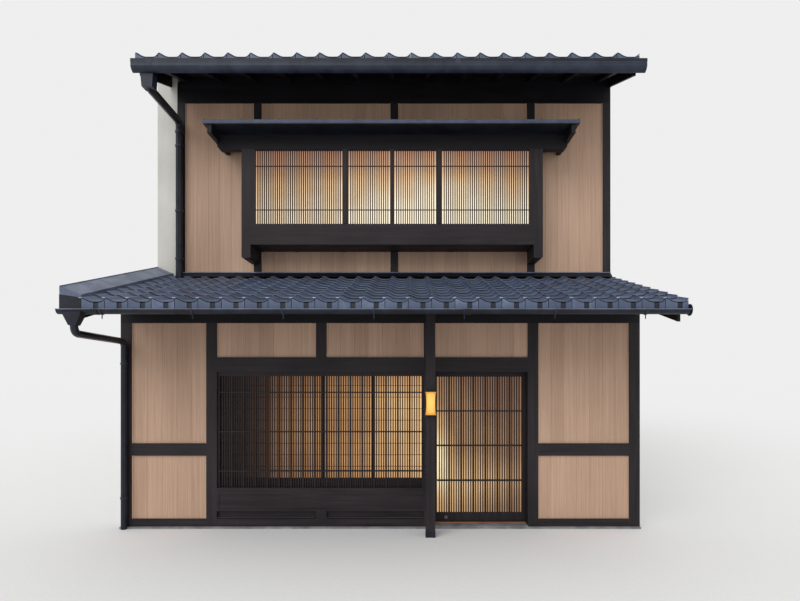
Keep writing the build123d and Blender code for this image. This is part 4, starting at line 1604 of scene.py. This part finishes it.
@dataclass
class PentGutter(Assembly):
    """Bead, straps, hangers' tails, end cap and joint sleeves of a pent roof's round gutter."""

    side: Side
    bead: float = 0.004
    hanger_step: float = 0.866
    # Number of hangers at each side of the middle one
    hangers: int = 3
    strap_width: float = 0.018
    strap: float = 0.003
    tail: float = 0.04
    tail_radius: float = 0.005
    sleeves: Pair = (-2.655, 0.9)
    sleeve_half: float = 0.03
    # Ends of the end cap past the gutter's end
    cap: Pair = (-0.001, 0.005)
    cap_margin: float = 0.008
    cap_drop: float = 0.004
    # Small step between neighbouring faces, and gap under a band
    inset: float = 0.001
    gap: float = 0.0002

    def make(self) -> None:
        """Makes the pieces."""
        word, sign = self.side.word, self.side.value
        low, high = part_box(f"pent_gutter_{word}")
        rim, radius = high[2], high[2] - low[2]
        outer = max(abs(low[1]), abs(high[1]))
        middle = outer - radius
        # The bead's pale enamel on the dark gutter is a painted highlight along the rim
        bead = MeshMaker(f"pent_gutter_bead_{word}")
        bead.prism_x((low[0], high[0]),
                     circle((sign * (outer - self.inset), rim), self.bead, sides=10))
        bead.make(self.palette.trim, Slot.METAL, smooth=60)
        straps = MeshMaker(f"pent_gutter_straps_{word}")
        tails = MeshMaker(f"pent_gutter_tails_{word}")
        y = ordered(sign * (middle - radius), sign * (outer + self.inset))
        for i in range(-self.hangers, self.hangers + 1):
            x = self.hanger_step * i
            width = about(x, self.strap_width / 2)
            self._band(straps, width, sign * middle, rim, radius)
            straps.box(width, y, (rim + self.inset, rim + self.inset + self.strap))
            tails.prism_z((low[2] - self.tail, low[2] - 2 * self.inset),
                          circle((x, sign * middle), self.tail_radius, sides=10))
        straps.make(self.palette.gutter, Slot.METAL)
        tails.make(self.palette.gutter, Slot.METAL, smooth=60)
        caps = MeshMaker(f"pent_gutter_caps_{word}")
        caps.prism_x(beyond(high[0], self.cap),
                     circle((sign * middle, rim - self.cap_drop),
                            radius + self.cap_margin, sides=28))
        for x in self.sleeves:
            self._band(caps, about(x, self.sleeve_half), sign * middle, rim, radius)
        caps.make(self.palette.enamel, Slot.METAL, smooth=40)

    def _band(self, maker: MeshMaker, x: Pair, middle: float, rim: float,
              radius: float) -> None:
        """Adds a band round the underside of the gutter.

        Args:
            maker: The piece.
            x: Limits across.
            middle: Middle of the gutter along Y.
            rim: Height of the rim.
            radius: Outer radius of the gutter.
        """
        turns = half_turn(math.pi, steps=16)
        outside, inside = [
            [(middle + size * math.cos(turn), rim + size * math.sin(turn)) for turn in turns]
            for size in (radius + self.strap, radius + self.gap)]
        for i in range(len(turns) - 1):
            maker.prism_x(x, [outside[i], outside[i + 1], inside[i + 1], inside[i]])


@dataclass
class UpperGutter(Assembly):
    """Rim, pale line and joint sleeves of an upper roof's gutter."""

    side: Side
    bead: float = 0.004
    # Flat band under the rim, and the pale line under it
    band_height: float = 0.036
    band: Pair = (0.0002, 0.0025)
    line: float = 0.003
    sleeves: Pair = (-2.655, 0.9)
    sleeve_half: float = 0.03
    sleeve: float = 0.003
    # Small step between neighbouring faces
    inset: float = 0.001

    def make(self) -> None:
        """Makes the pieces."""
        word, sign = self.side.word, self.side.value
        low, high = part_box(f"upper_gutter_{word}")
        outer = max(abs(low[1]), abs(high[1]))
        ends = (low[0], high[0])
        beads = MeshMaker(f"upper_gutter_beads_{word}")
        beads.prism_x(ends, circle((sign * (outer - self.inset), high[2]), self.bead, sides=10))
        beads.box(inner(ends, -self.inset), beyond(sign * outer, self.band, sign),
                  (high[2] - self.band_height, high[2] + self.inset))
        beads.make(self.palette.enamel, Slot.METAL)
        line = MeshMaker(f"upper_gutter_line_{word}")
        line.prism_x(inner(ends, 2 * self.inset),
                     circle((sign * (outer + self.inset), high[2] - self.band_height - self.line),
                            self.line, sides=8))
        line.make(self.palette.hem, Slot.METAL, smooth=60)
        sleeves = MeshMaker(f"upper_gutter_sleeves_{word}")
        profile = self._profile(low, high)
        for x in self.sleeves:
            for (z0, out0), (z1, out1) in zip(profile, profile[1:]):
                section = [(sign * out0, z0), (sign * (out0 + self.sleeve), z0),
                           (sign * (out1 + self.sleeve), z1), (sign * out1, z1)]
                if sign < 0:
                    section.reverse()
                sleeves.prism_x(about(x, self.sleeve_half), section)
        sleeves.make(self.palette.gutter, Slot.METAL)

    def _profile(self, low: Point, high: Point) -> list[Pair]:
        """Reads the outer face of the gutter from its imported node.

        Args:
            low: Lowest corner of the gutter.
            high: Highest corner of the gutter.

        Returns:
            Heights, and how far out the gutter reaches there, from the foot up.
        """
        fronts: dict[float, float] = {}
        for vertex in self.nodes[f"upper_gutter_{self.side.word}"].data.vertices:
            if abs(vertex.co.x - low[0]) < SAME_FACE:
                out, z = vertex.co.y * self.side.value, round(vertex.co.z, 4)
                fronts[z] = max(out, fronts.get(z, 0.0))
        middle = (abs(low[1]) + abs(high[1])) / 2
        return sorted((z, out) for z, out in fronts.items() if out > middle)


@dataclass
class WallFlashing(Assembly):
    """Metal strip and bedding where a pent roof meets the upper wall."""

    side: Side
    strip: Pair = (0.0004, 0.02)
    strip_height: float = 0.014
    # Height of the strip's top over the foot of the upper panels
    strip_rise: float = 0.002
    # Bedding of the uppermost tiles, with the distance of its upper front edge
    bed: Pair = (0.0005, 0.075)
    bed_top: float = 0.03
    bed_heights: Pair = (0.02, 0.068)
    inset: float = 0.002

    def make(self) -> None:
        """Makes the pieces."""
        word, sign = self.side.word, self.side.value
        low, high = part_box(f"pent_roof_{word}")
        wall = min(abs(low[1]), abs(high[1]))
        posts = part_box("upper_front_posts")
        x = inner((posts[0][0], posts[1][0]), self.inset)
        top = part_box("upper_front_panels")[0][2] + self.strip_rise
        strip = MeshMaker(f"wall_flashing_{word}")
        strip.box(x, beyond(sign * wall, self.strip, sign),
                  (top - self.strip_height, top), ease=0.002)
        strip.make(self.palette.trim, Slot.METAL)
        near, far, upper = (sign * (wall + out) for out in (*self.bed, self.bed_top))
        z0, z1 = (high[2] + rise for rise in self.bed_heights)
        section = [(far, z0), (near, z0), (near, z1), (upper, z1)]
        if self.side is Side.REAR:
            section.reverse()
        # The bedding takes the shade-darkened beam finish: painted shade under the top tiles
        bedding = MeshMaker(f"pent_head_mortar_{word}")
        bedding.prism_x(x, section)
        bedding.make(self.palette.shaded, Slot.TIMBER)


@dataclass
class PentCappings(Assembly):
    """Folded edges and end plates of the metal cappings beside the pent tiles."""

    fold: float = 0.005
    fold_inset: float = 0.004
    end_gap: float = 0.002
    fold_lift: float = 0.001
    plate: Pair = (0.0003, 0.004)
    # Heights of an end plate over the eave, left and right
    plate_tops: Pair = (0.082, 0.05)

    def make(self) -> None:
        """Makes the pieces."""
        low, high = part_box("pent_cappings")
        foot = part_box("pent_roof_front")[0][2]
        seams = MeshMaker("capping_seams")
        plates = MeshMaker("capping_end_plates")
        for side in Side:
            slope = Slope.of(self.nodes[f"pent_roof_{side.word}"], side)
            sign = side.value
            corners = [v.co for v in self.nodes["pent_cappings"].data.vertices
                       if abs(v.co.y - sign * slope.eave_y) < 2 * SAME_FACE]
            for edge, x in ((low[0], low[0] + self.fold_inset),
                            (high[0], high[0] - self.fold_inset)):
                top = max(c.z for c in corners if abs(c.x - edge) < 2 * SAME_FACE)
                seams.sweep([slope.point(x, out, top - slope.eave_z + self.fold_lift)
                             for out in (slope.eave_y - self.end_gap,
                                         slope.top_y + self.end_gap)], self.fold)
            plates.prism_y(beyond(sign * slope.eave_y, self.plate, sign),
                           [(low[0], foot), (high[0], foot),
                            (high[0], slope.eave_z + self.plate_tops[1]),
                            (low[0], slope.eave_z + self.plate_tops[0])])
        seams.make(self.palette.trim, Slot.METAL)
        plates.make(self.palette.enamel, Slot.METAL)


@dataclass
class BayRoof(Assembly):
    """Pale edge and standing seams of the bay's metal roof."""

    # Height of the roof's upper face at its front
    edge: float = 4.85
    strip: Pair = (0.0004, 0.005)
    strip_foot: float = 0.008
    front_rise: float = 0.004
    side_rise: float = 0.003
    seam_step: float = 0.45
    seam_half: float = 0.005
    seam_inset: float = 0.006
    seam_rise: float = 0.02
    # Length and height of a seam's sloping front
    nose: float = 0.012

    def make(self) -> None:
        """Makes the pieces."""
        low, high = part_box("bay_roof")
        edge, foot = self.edge, low[2] + self.strip_foot
        strip = MeshMaker("bay_roof_edge")
        strip.box((low[0], high[0]), beyond(low[1], self.strip, -1),
                  (foot, edge + self.front_rise), ease=0.002)
        for x in (beyond(low[0], self.strip, -1), beyond(high[0], self.strip)):
            strip.prism_x(x, [(low[1], foot), (high[1], foot), (high[1], high[2] + self.side_rise),
                              (low[1], edge + self.side_rise)])
        strip.make(self.palette.hem, Slot.METAL)
        seams = MeshMaker("bay_roof_seams")
        count = round((high[0] - low[0]) / self.seam_step)
        for i in range(count + 1):
            x = low[0] + self.seam_inset + i * (high[0] - low[0] - 2 * self.seam_inset) / count
            seams.prism_x(about(x, self.seam_half), [
                (low[1], edge), (high[1], high[2]), (high[1], high[2] + self.seam_rise),
                (low[1] + self.nose, edge + self.seam_rise), (low[1], edge + self.nose)])
        seams.make(self.palette.enamel, Slot.METAL)


@dataclass
class WallCapping(Assembly):
    """Folded edge along the capping of the left party wall."""

    depth: float = 0.03
    fold: float = 0.005
    fold_rise: float = 0.006
    proud: float = 0.001

    def make(self) -> None:
        """Makes the piece."""
        low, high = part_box("wall_capping")
        maker = MeshMaker("wall_capping_hem")
        x, foot = low[0] - self.proud, low[2] + self.fold_rise
        rise = high[2] - low[2] - self.depth
        out = max(abs(low[1]), abs(high[1]))
        for side in Side:
            maker.sweep([(x, side.value * out, foot), (x, 0.0, foot + rise)], self.fold)
        maker.make(self.palette.trim, Slot.METAL, smooth=60)


@dataclass
class Downpipes(Assembly):
    """Collars that hold the downpipes to the wall, and the tapered skirt of the upper hopper."""

    upper_collars: tuple[float, ...] = (4.975, 4.79, 3.93, 3.3)
    pent_collars: tuple[float, ...] = (0.35, 1.9)
    collar: float = 0.022
    collar_proud: float = 0.005
    # Height over a pipe's foot in which its section is read
    foot: float = 0.01
    stay_half: float = 0.006
    stay: float = 0.03
    stay_inset: float = 0.004
    skirt: float = 0.15
    # How far the skirt lies inside the hopper, left and right, and at its top
    skirt_foot: Pair = (0.016, 0.012)
    skirt_top: float = 0.002
    gap: float = 0.0004

    def make(self) -> None:
        """Makes the pieces."""
        collars = MeshMaker("pipe_collars")
        self._collars(collars, "upper_downpipe", self.upper_collars)
        self._collars(collars, "pent_downpipe", self.pent_collars)
        collars.make(self.palette.gutter, Slot.METAL, smooth=40)
        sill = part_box("upper_gutter_front")[0][2] - SAME_FACE
        hopper = [v.co for v in self.nodes["upper_downpipe"].data.vertices if v.co.z > sill]
        x0, x1 = min(c.x for c in hopper), max(c.x for c in hopper)
        z = min(c.z for c in hopper) - self.gap
        skirt = MeshMaker("hopper_skirt")
        skirt.prism_y((min(c.y for c in hopper), max(c.y for c in hopper)),
                      [(x0 + self.skirt_foot[0], z - self.skirt),
                       (x1 - self.skirt_foot[1], z - self.skirt),
                       (x1 - self.skirt_top, z), (x0 + self.skirt_top, z)])
        skirt.make(self.palette.gutter, Slot.METAL)

    def _collars(self, maker: MeshMaker, name: str, heights: tuple[float, ...]) -> None:
        """Adds the collars and stays of one pipe.

        Args:
            maker: The piece.
            name: Node of the pipe.
            heights: Heights of the collars.
        """
        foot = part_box(name)[0][2] + self.foot
        near = [v.co for v in self.nodes[name].data.vertices if v.co.z < foot]
        xs, ys = [c.x for c in near], [c.y for c in near]
        centre = ((min(xs) + max(xs)) / 2, (min(ys) + max(ys)) / 2)
        radius = (max(xs) - min(xs)) / 2
        for z in heights:
            maker.prism_z((z, z + self.collar),
                          circle(centre, radius + self.collar_proud, sides=24))
            maker.box(about(centre[0], self.stay_half),
                      (centre[1] + radius, centre[1] + radius + self.stay),
                      inner((z, z + self.collar), self.stay_inset))


@dataclass
class DoorLock(Assembly):
    """Raised ring and keyhole of the door's round lock."""

    ring_proud: float = 0.003
    # Radii are shares of the lock's
    ring_inner: float = 0.62
    hole_proud: float = 0.0012
    hole: float = 0.58
    gap: float = 0.0002

    def make(self) -> None:
        """Makes the pieces."""
        low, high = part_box("door_lock")
        middle = ((low[0] + high[0]) / 2, (low[2] + high[2]) / 2)
        radius = (high[0] - low[0]) / 2
        face = low[1] - self.gap
        ring = MeshMaker("lock_ring")
        outside, inside = (circle(middle, size, sides=28)
                           for size in (radius, radius * self.ring_inner))
        for i, corner in enumerate(outside):
            j = (i + 1) % len(outside)
            ring.prism_y((low[1] - self.ring_proud, face),
                         [inside[i], corner, outside[j], inside[j]])
        ring.make(self.palette.steel, Slot.STEEL, Body.DOOR, smooth=30)
        hole = MeshMaker("keyhole")
        hole.prism_y((low[1] - self.hole_proud, face),
                     circle(middle, radius * self.hole, sides=20))
        hole.make(self.palette.enamel, Slot.STEEL, Body.DOOR)


@dataclass
class EntryPost(Assembly):
    """Caps and bracket of the lamp on the entry post, and the metal shoe at the post's foot."""

    cap: Pair = (0.0002, 0.003)
    # How far a cap lies inside the shade: sides and front, and back
    cap_insets: Pair = (0.001, 0.0005)
    bracket_half: float = 0.012
    bracket_back: Pair = (0.0004, 0.004)
    bracket_heights: Pair = (0.003, 0.02)
    shoe_height: float = 0.07
    shoe: Pair = (0.0002, 0.002)

    def make(self) -> None:
        """Makes the pieces."""
        self._lamp()
        self._shoe()

    def _lamp(self) -> None:
        """Makes the lamp's caps and bracket."""
        low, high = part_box("entry_lamp")
        caps = MeshMaker("lamp_caps")
        for z in (beyond(low[2], self.cap, -1), beyond(high[2], self.cap)):
            caps.box(inner((low[0], high[0]), self.cap_insets[0]),
                     (low[1] + self.cap_insets[0], high[1] - self.cap_insets[1]), z, ease=0.002)
        caps.make(self.palette.brass, Slot.SHADE)
        bracket = MeshMaker("lamp_bracket")
        bracket.box(about((low[0] + high[0]) / 2, self.bracket_half),
                    beyond(high[1], self.bracket_back, -1),
                    beyond(high[2], self.bracket_heights), ease=0.001)
        bracket.make(self.palette.enamel, Slot.SHADE)

    def _shoe(self) -> None:
        """Makes the shoe from four plates."""
        low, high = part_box("entry_post")
        across, deep = inner((low[0], high[0]), -self.shoe[1]), (low[1], high[1])
        maker = MeshMaker("post_shoe")
        for x, y in ((across, beyond(low[1], self.shoe, -1)),
                     (across, beyond(high[1], self.shoe)),
                     (beyond(low[0], self.shoe, -1), deep),
                     (beyond(high[0], self.shoe), deep)):
            maker.box(x, y, (0.0, self.shoe_height))
        maker.make(self.palette.enamel, Slot.METAL)


@dataclass
class BayTrim(Assembly):
    """Battens on the bay's side mullions and pegs in its cheeks."""

    mullions: Pair = (-0.468, 0.712)
    batten_half: float = 0.016
    batten: Pair = (0.0003, 0.007)
    batten_inset: float = 0.001
    peg_heights: Pair = (3.594, 4.7)
    peg_inset: float = 0.055
    peg_radius: float = 0.011
    peg: Pair = (0.0002, 0.003)

    def make(self) -> None:
        """Makes the pieces."""
        low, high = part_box("bay_lattice")
        battens = MeshMaker("bay_battens")
        for x in self.mullions:
            battens.box(about(x, self.batten_half), beyond(low[1], self.batten, -1),
                        inner((low[2], high[2]), self.batten_inset))
        battens.make(self.palette.post, Slot.TIMBER)
        low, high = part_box("bay_cheeks")
        pegs = MeshMaker("bay_pegs")
        for x in inner((low[0], high[0]), self.peg_inset):
            for z in self.peg_heights:
                pegs.prism_y(beyond(low[1], self.peg, -1),
                             circle((x, z), self.peg_radius, sides=14))
        pegs.make(self.palette.deck, Slot.TIMBER)


@dataclass
class WindowApron(Assembly):
    """Lighter strips on the window's apron, its top rail and the lips of its vent slots: painted
    highlights on their edges.
    """

    rail: float = 0.404
    # Height and thickness
    rail_size: Pair = (0.005, 0.0015)
    rail_inset: float = 0.003
    # Ends of each vent slot
    slots: Stops = ((-1.895, -0.76), (-0.63, 0.5))
    slot_foot: float = 0.127
    lip_size: Pair = (0.006, 0.002)
    gap: float = 0.0003

    def make(self) -> None:
        """Makes the piece."""
        low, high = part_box("window_base")
        face = low[1] - self.gap
        maker = MeshMaker("apron_edges")
        maker.box(inner((low[0], high[0]), self.rail_inset),
                  (low[1] - self.rail_size[1], face), (self.rail, self.rail + self.rail_size[0]))
        for x in self.slots:
            maker.box(x, (low[1] - self.lip_size[1], face),
                      (self.slot_foot - self.lip_size[0], self.slot_foot))
        maker.make(self.palette.edge_highlight, Slot.TIMBER)


@dataclass
class LatticeStrips(Assembly):
    """Flat strips over the ties of the door's and the window's lattice, and the door's sill."""

    door_heights: tuple[float, ...] = (1.352, 0.942, 0.527)
    door_half: float = 0.0085
    window_heights: tuple[float, ...] = (1.577, 1.117, 0.659)
    window_half: float = 0.0075
    strip: Pair = (0.0002, 0.002)
    inset: float = 0.001
    sill: Pair = (0.002, 0.016)
    sill_heights: Pair = (0.0002, 0.009)
    sill_inset: float = 0.004

    def make(self) -> None:
        """Makes the pieces."""
        for name, heights, half, body in (
                ("door_lattice", self.door_heights, self.door_half, Body.DOOR),
                ("window_lattice", self.window_heights, self.window_half, Body.HOUSE)):
            low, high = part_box(name)
            maker = MeshMaker(f"{name}_strips")
            for z in heights:
                maker.box(inner((low[0], high[0]), self.inset),
                          beyond(low[1], self.strip, -1), about(z, half))
            maker.make(self.palette.strip, Slot.TIMBER, body)
        # The door's sill takes the screen bars' glowing finish: painted light on it
        low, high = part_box("threshold")
        sill = MeshMaker("door_sill")
        sill.box(inner((low[0], high[0]), self.sill_inset), beyond(high[1], self.sill, -1),
                 beyond(high[2], self.sill_heights), ease=0.001)
        sill.make(self.palette.kumiko, Slot.TIMBER)


@dataclass
class RearWindows(Assembly):
    """Glazing bars, sills and finger pulls of the garden side's windows."""

    pane: float = 0.42
    bar_half: float = 0.009
    bar_depth: float = 0.014
    bar_inset: float = 0.0005
    sill_heights: Pair = (0.001, 0.022)
    sill_depth: float = 0.034
    sill_reach: float = 0.01
    # Height of the pulls as a share of the frame's
    pull: float = 0.46
    pull_inset: float = 0.023
    pull_radius: float = 0.017
    pull_depth: float = 0.003
    gap: float = 0.0003

    def make(self) -> None:
        """Makes the pieces."""
        bars, sills = MeshMaker("rear_glazing_bars"), MeshMaker("rear_sills")
        pulls = MeshMaker("rear_finger_pulls")
        for low, high in solids(self.nodes["rear_glass"]):
            count = round((high[2] - low[2]) / self.pane)
            for i in range(1, count):
                bars.box(inner((low[0], high[0]), self.bar_inset),
                         (high[1] + self.gap, high[1] + self.bar_depth),
                         about(low[2] + i * (high[2] - low[2]) / count, self.bar_half),
                         ease=0.001)
        for low, high in solids(self.nodes["rear_window_frames"]):
            face = high[1] + self.gap
            sills.box(inner((low[0], high[0]), -self.sill_reach),
                      (face, high[1] + self.sill_depth),
                      beyond(low[2], self.sill_heights), ease=0.002)
            height = low[2] + (high[2] - low[2]) * self.pull
            for x in (*inner((low[0], high[0]), self.pull_inset), (low[0] + high[0]) / 2):
                pulls.prism_y((face, high[1] + self.pull_depth),
                              circle((x, height), self.pull_radius, sides=20))
        bars.make(self.palette.strip, Slot.TIMBER)
        sills.make(self.palette.strip, Slot.TIMBER)
        pulls.make(self.palette.brass, Slot.TIMBER)


@dataclass
class RafterStops(Assembly):
    """Boards between the upper rafters that close the gap over the front beam."""

    heights: Pair = (0.006, 0.073)
    depths: Pair = (0.002, 0.014)
    inset: float = 0.0005
    # Place along Y past which a rafter isn't over the street
    street_end: float = 0.1

    def make(self) -> None:
        """Makes the piece."""
        beams = [v.co for v in self.nodes["upper_front_beams"].data.vertices]
        edge = min(c.y for c in beams)
        seat = max(c.z for c in beams if abs(c.y - edge) < 2 * SAME_FACE)
        rafters = sorted((low[0], high[0]) for low, high in solids(self.nodes["upper_rafters"])
                         if high[1] < self.street_end)
        starts = [high for _, high in rafters]
        stops = [low for low, _ in rafters[1:]] + [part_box("party_wall_right")[1][0]]
        maker = MeshMaker("rafter_stops")
        for start, stop in zip(starts, stops):
            maker.box(inner((start, stop), self.inset),
                      beyond(edge, self.depths), beyond(seat, self.heights), ease=0.001)
        maker.make(self.palette.shaded, Slot.TIMBER)


@dataclass
class Kerb(Assembly):
    """Kerb stones along both long edges of the foundation."""

    lengths: Pair = (0.7, 0.95)
    # Length under which the last stone joins the one before it
    shortest: float = 0.3
    # Length of the edge that may stay open
    rest: float = 0.05
    faces: Pair = (0.0003, 0.03)
    joint: float = 0.0015
    top_gap: float = 0.001
    ease: float = 0.003
    seed: int = 8

    def make(self) -> None:
        """Makes the piece."""
        low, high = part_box("foundation")
        chance = random.Random(self.seed)
        maker = MeshMaker("kerb_stones")
        out = max(abs(low[1]), abs(high[1]))
        for side in Side:
            y = beyond(side.value * out, self.faces, side.value)
            x = low[0]
            while x < high[0] - self.rest:
                length = min(chance.uniform(*self.lengths), high[0] - x)
                if high[0] - x - length < self.shortest:
                    length = high[0] - x
                maker.box(inner((x, x + length), self.joint), y, (0.0, high[2] - self.top_gap),
                          chance.random(), self.ease)
                x += length
        maker.make(self.palette.stone, Slot.STONE)


@dataclass
class Studio:
    """Camera, floor and light."""

    stand: Point = (0.346, -10.8, 1.826)
    # Focal length and width of the sensor in millimetres
    lens: float = 24.0
    sensor: float = 36.0
    # Shift of the lens as shares of the sensor's width
    shift: Pair = (-0.0125, 0.0881)
    reach: float = 400.0
    floor_half: float = 120.0
    specks: float = 30.0
    floor_dark: Colour = srgb(237, 237, 237)
    floor_light: Colour = srgb(241, 241, 241)
    # Strength of the sky, of what the camera sees of it, which equals the lit floor,
    # and of the sun
    sky: float = 0.78
    background: float = 0.86
    sun: float = 1.1
    # Angle that the sun fills, and its turns about X and Z, in degrees
    sun_width: float = 50.0
    sun_turn: Pair = (52.0, -28.0)

    def make(self) -> None:
        """Makes the stage."""
        scene = bpy.context.scene
        scene.view_settings.view_transform = "Standard"
        camera = bpy.data.cameras.new("street_view")
        camera.lens = self.lens
        camera.sensor_width = self.sensor
        camera.shift_x, camera.shift_y = self.shift
        camera.clip_end = self.reach
        holder = bpy.data.objects.new("street_view", camera)
        holder.location = self.stand
        holder.rotation_euler = (math.pi / 2, 0, 0)
        scene.collection.objects.link(holder)
        scene.camera = holder
        self._floor()
        self._light()

    def _floor(self) -> None:
        """Makes the pale floor."""
        graph = Graph("pale_floor")
        speck = graph.noise(graph.place(), self.specks, detail=2.0)
        colour = graph.ramp(speck, [(NOISE_LOW, self.floor_dark), (NOISE_HIGH, self.floor_light)])
        graph.shader.inputs["Specular IOR Level"].default_value = 0.0
        material = graph.finish(colour, 1.0, None)
        mesh = bpy.data.meshes.new("pale_floor")
        half = self.floor_half
        mesh.from_pydata([(-half, -half, 0), (half, -half, 0), (half, half, 0), (-half, half, 0)],
                         [], [(0, 1, 2, 3)])
        mesh.materials.append(material)
        floor = bpy.data.objects.new("pale_floor", mesh)
        bpy.context.scene.collection.objects.link(floor)

    def _light(self) -> None:
        """Makes the soft light: an even sky and a wide sun from the upper left of the street."""
        world = bpy.data.worlds.new("studio")
        bpy.context.scene.world = world
        world.use_nodes = True
        tree = world.node_tree
        soft = tree.nodes["Background"]
        plain = tree.nodes.new("ShaderNodeBackground")
        for node, strength in ((soft, self.sky), (plain, self.background)):
            node.inputs["Color"].default_value = WHITE
            node.inputs["Strength"].default_value = strength
        path = tree.nodes.new("ShaderNodeLightPath")
        mix = tree.nodes.new("ShaderNodeMixShader")
        tree.links.new(path.outputs["Is Camera Ray"], mix.inputs["Fac"])
        tree.links.new(soft.outputs[0], mix.inputs[1])
        tree.links.new(plain.outputs[0], mix.inputs[2])
        tree.links.new(mix.outputs[0], tree.nodes["World Output"].inputs["Surface"])
        lamp = bpy.data.lights.new("key", "SUN")
        lamp.energy = self.sun
        lamp.angle = math.radians(self.sun_width)
        holder = bpy.data.objects.new("key", lamp)
        holder.rotation_euler = (math.radians(self.sun_turn[0]), 0,
                                 math.radians(self.sun_turn[1]))
        bpy.context.scene.collection.objects.link(holder)


@dataclass
class Dressing(Assembly):
    """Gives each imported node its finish."""

    def make(self) -> None:
        """Assigns the finishes."""
        palette = self.palette
        finishes = {
            palette.stone: ("foundation", "ground_floor", "threshold"),
            palette.floor_board: ("upper_floor",),
            palette.trim: ("pent_cappings",),
            palette.wall: ("party_wall_left", "party_wall_right"),
            palette.post: ("front_posts", "entry_post", "upper_front_posts", "rear_posts",
                           "bay_cheeks", "door_frame"),
            palette.beam: ("front_sills", "front_lintel", "front_rails", "window_base",
                           "bay_base", "rear_beams", "rear_window_frames"),
            palette.shaded: ("front_wall_plate", "upper_front_beams", "bay_head", "ridge_beam",
                             "fascias", "rear_plates"),
            palette.rafter: ("pent_rafters", "upper_rafters", "verge_boards",
                             "bay_verge_boards"),
            palette.bar: ("window_lattice", "door_lattice", "bay_lattice"),
            palette.panel: ("front_panels", "upper_front_panels", "rear_panels"),
            palette.tile: ("pent_roof_front", "pent_roof_rear", "upper_roof_front",
                           "upper_roof_rear", "roof_ridge"),
            palette.enamel: ("bay_roof", "pent_gutter_front", "pent_gutter_rear", "wall_capping",
                             "upper_downpipe", "pent_downpipe", "door_tracks"),
            palette.gutter: ("upper_gutter_front", "upper_gutter_rear"),
            palette.steel: ("door_rollers", "door_lock"),
            palette.window_paper: ("window_screen",),
            palette.door_paper: ("door_screen",),
            palette.bay_paper: ("bay_screen",),
            palette.shade: ("entry_lamp",),
            palette.glass: ("rear_glass",),
        }
        for material, names in finishes.items():
            for name in names:
                self.nodes[name].material_slots[0].material = material


def main() -> None:
    """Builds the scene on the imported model."""
    logging.basicConfig(level=logging.INFO)
    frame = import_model()
    Studio().make()
    palette = Palette()
    nodes = frame["nodes"]
    parts: list[Assembly] = [
        Dressing(palette, nodes), Roofs(palette, nodes), Ridge(palette, nodes),
        Soffits(palette, nodes), WindowKumiko(palette, nodes), DoorKumiko(palette, nodes),
        Boards(palette, nodes)]
    for side in Side:
        parts += [PentGutter(palette, nodes, side), UpperGutter(palette, nodes, side),
                  WallFlashing(palette, nodes, side)]
    parts += [
        PentCappings(palette, nodes), BayRoof(palette, nodes), WallCapping(palette, nodes),
        Downpipes(palette, nodes), DoorLock(palette, nodes), EntryPost(palette, nodes),
        BayTrim(palette, nodes), WindowApron(palette, nodes), LatticeStrips(palette, nodes),
        RearWindows(palette, nodes), RafterStops(palette, nodes), Kerb(palette, nodes)]
    for part in parts:
        part.make()


if __name__ == "__main__":
    main()
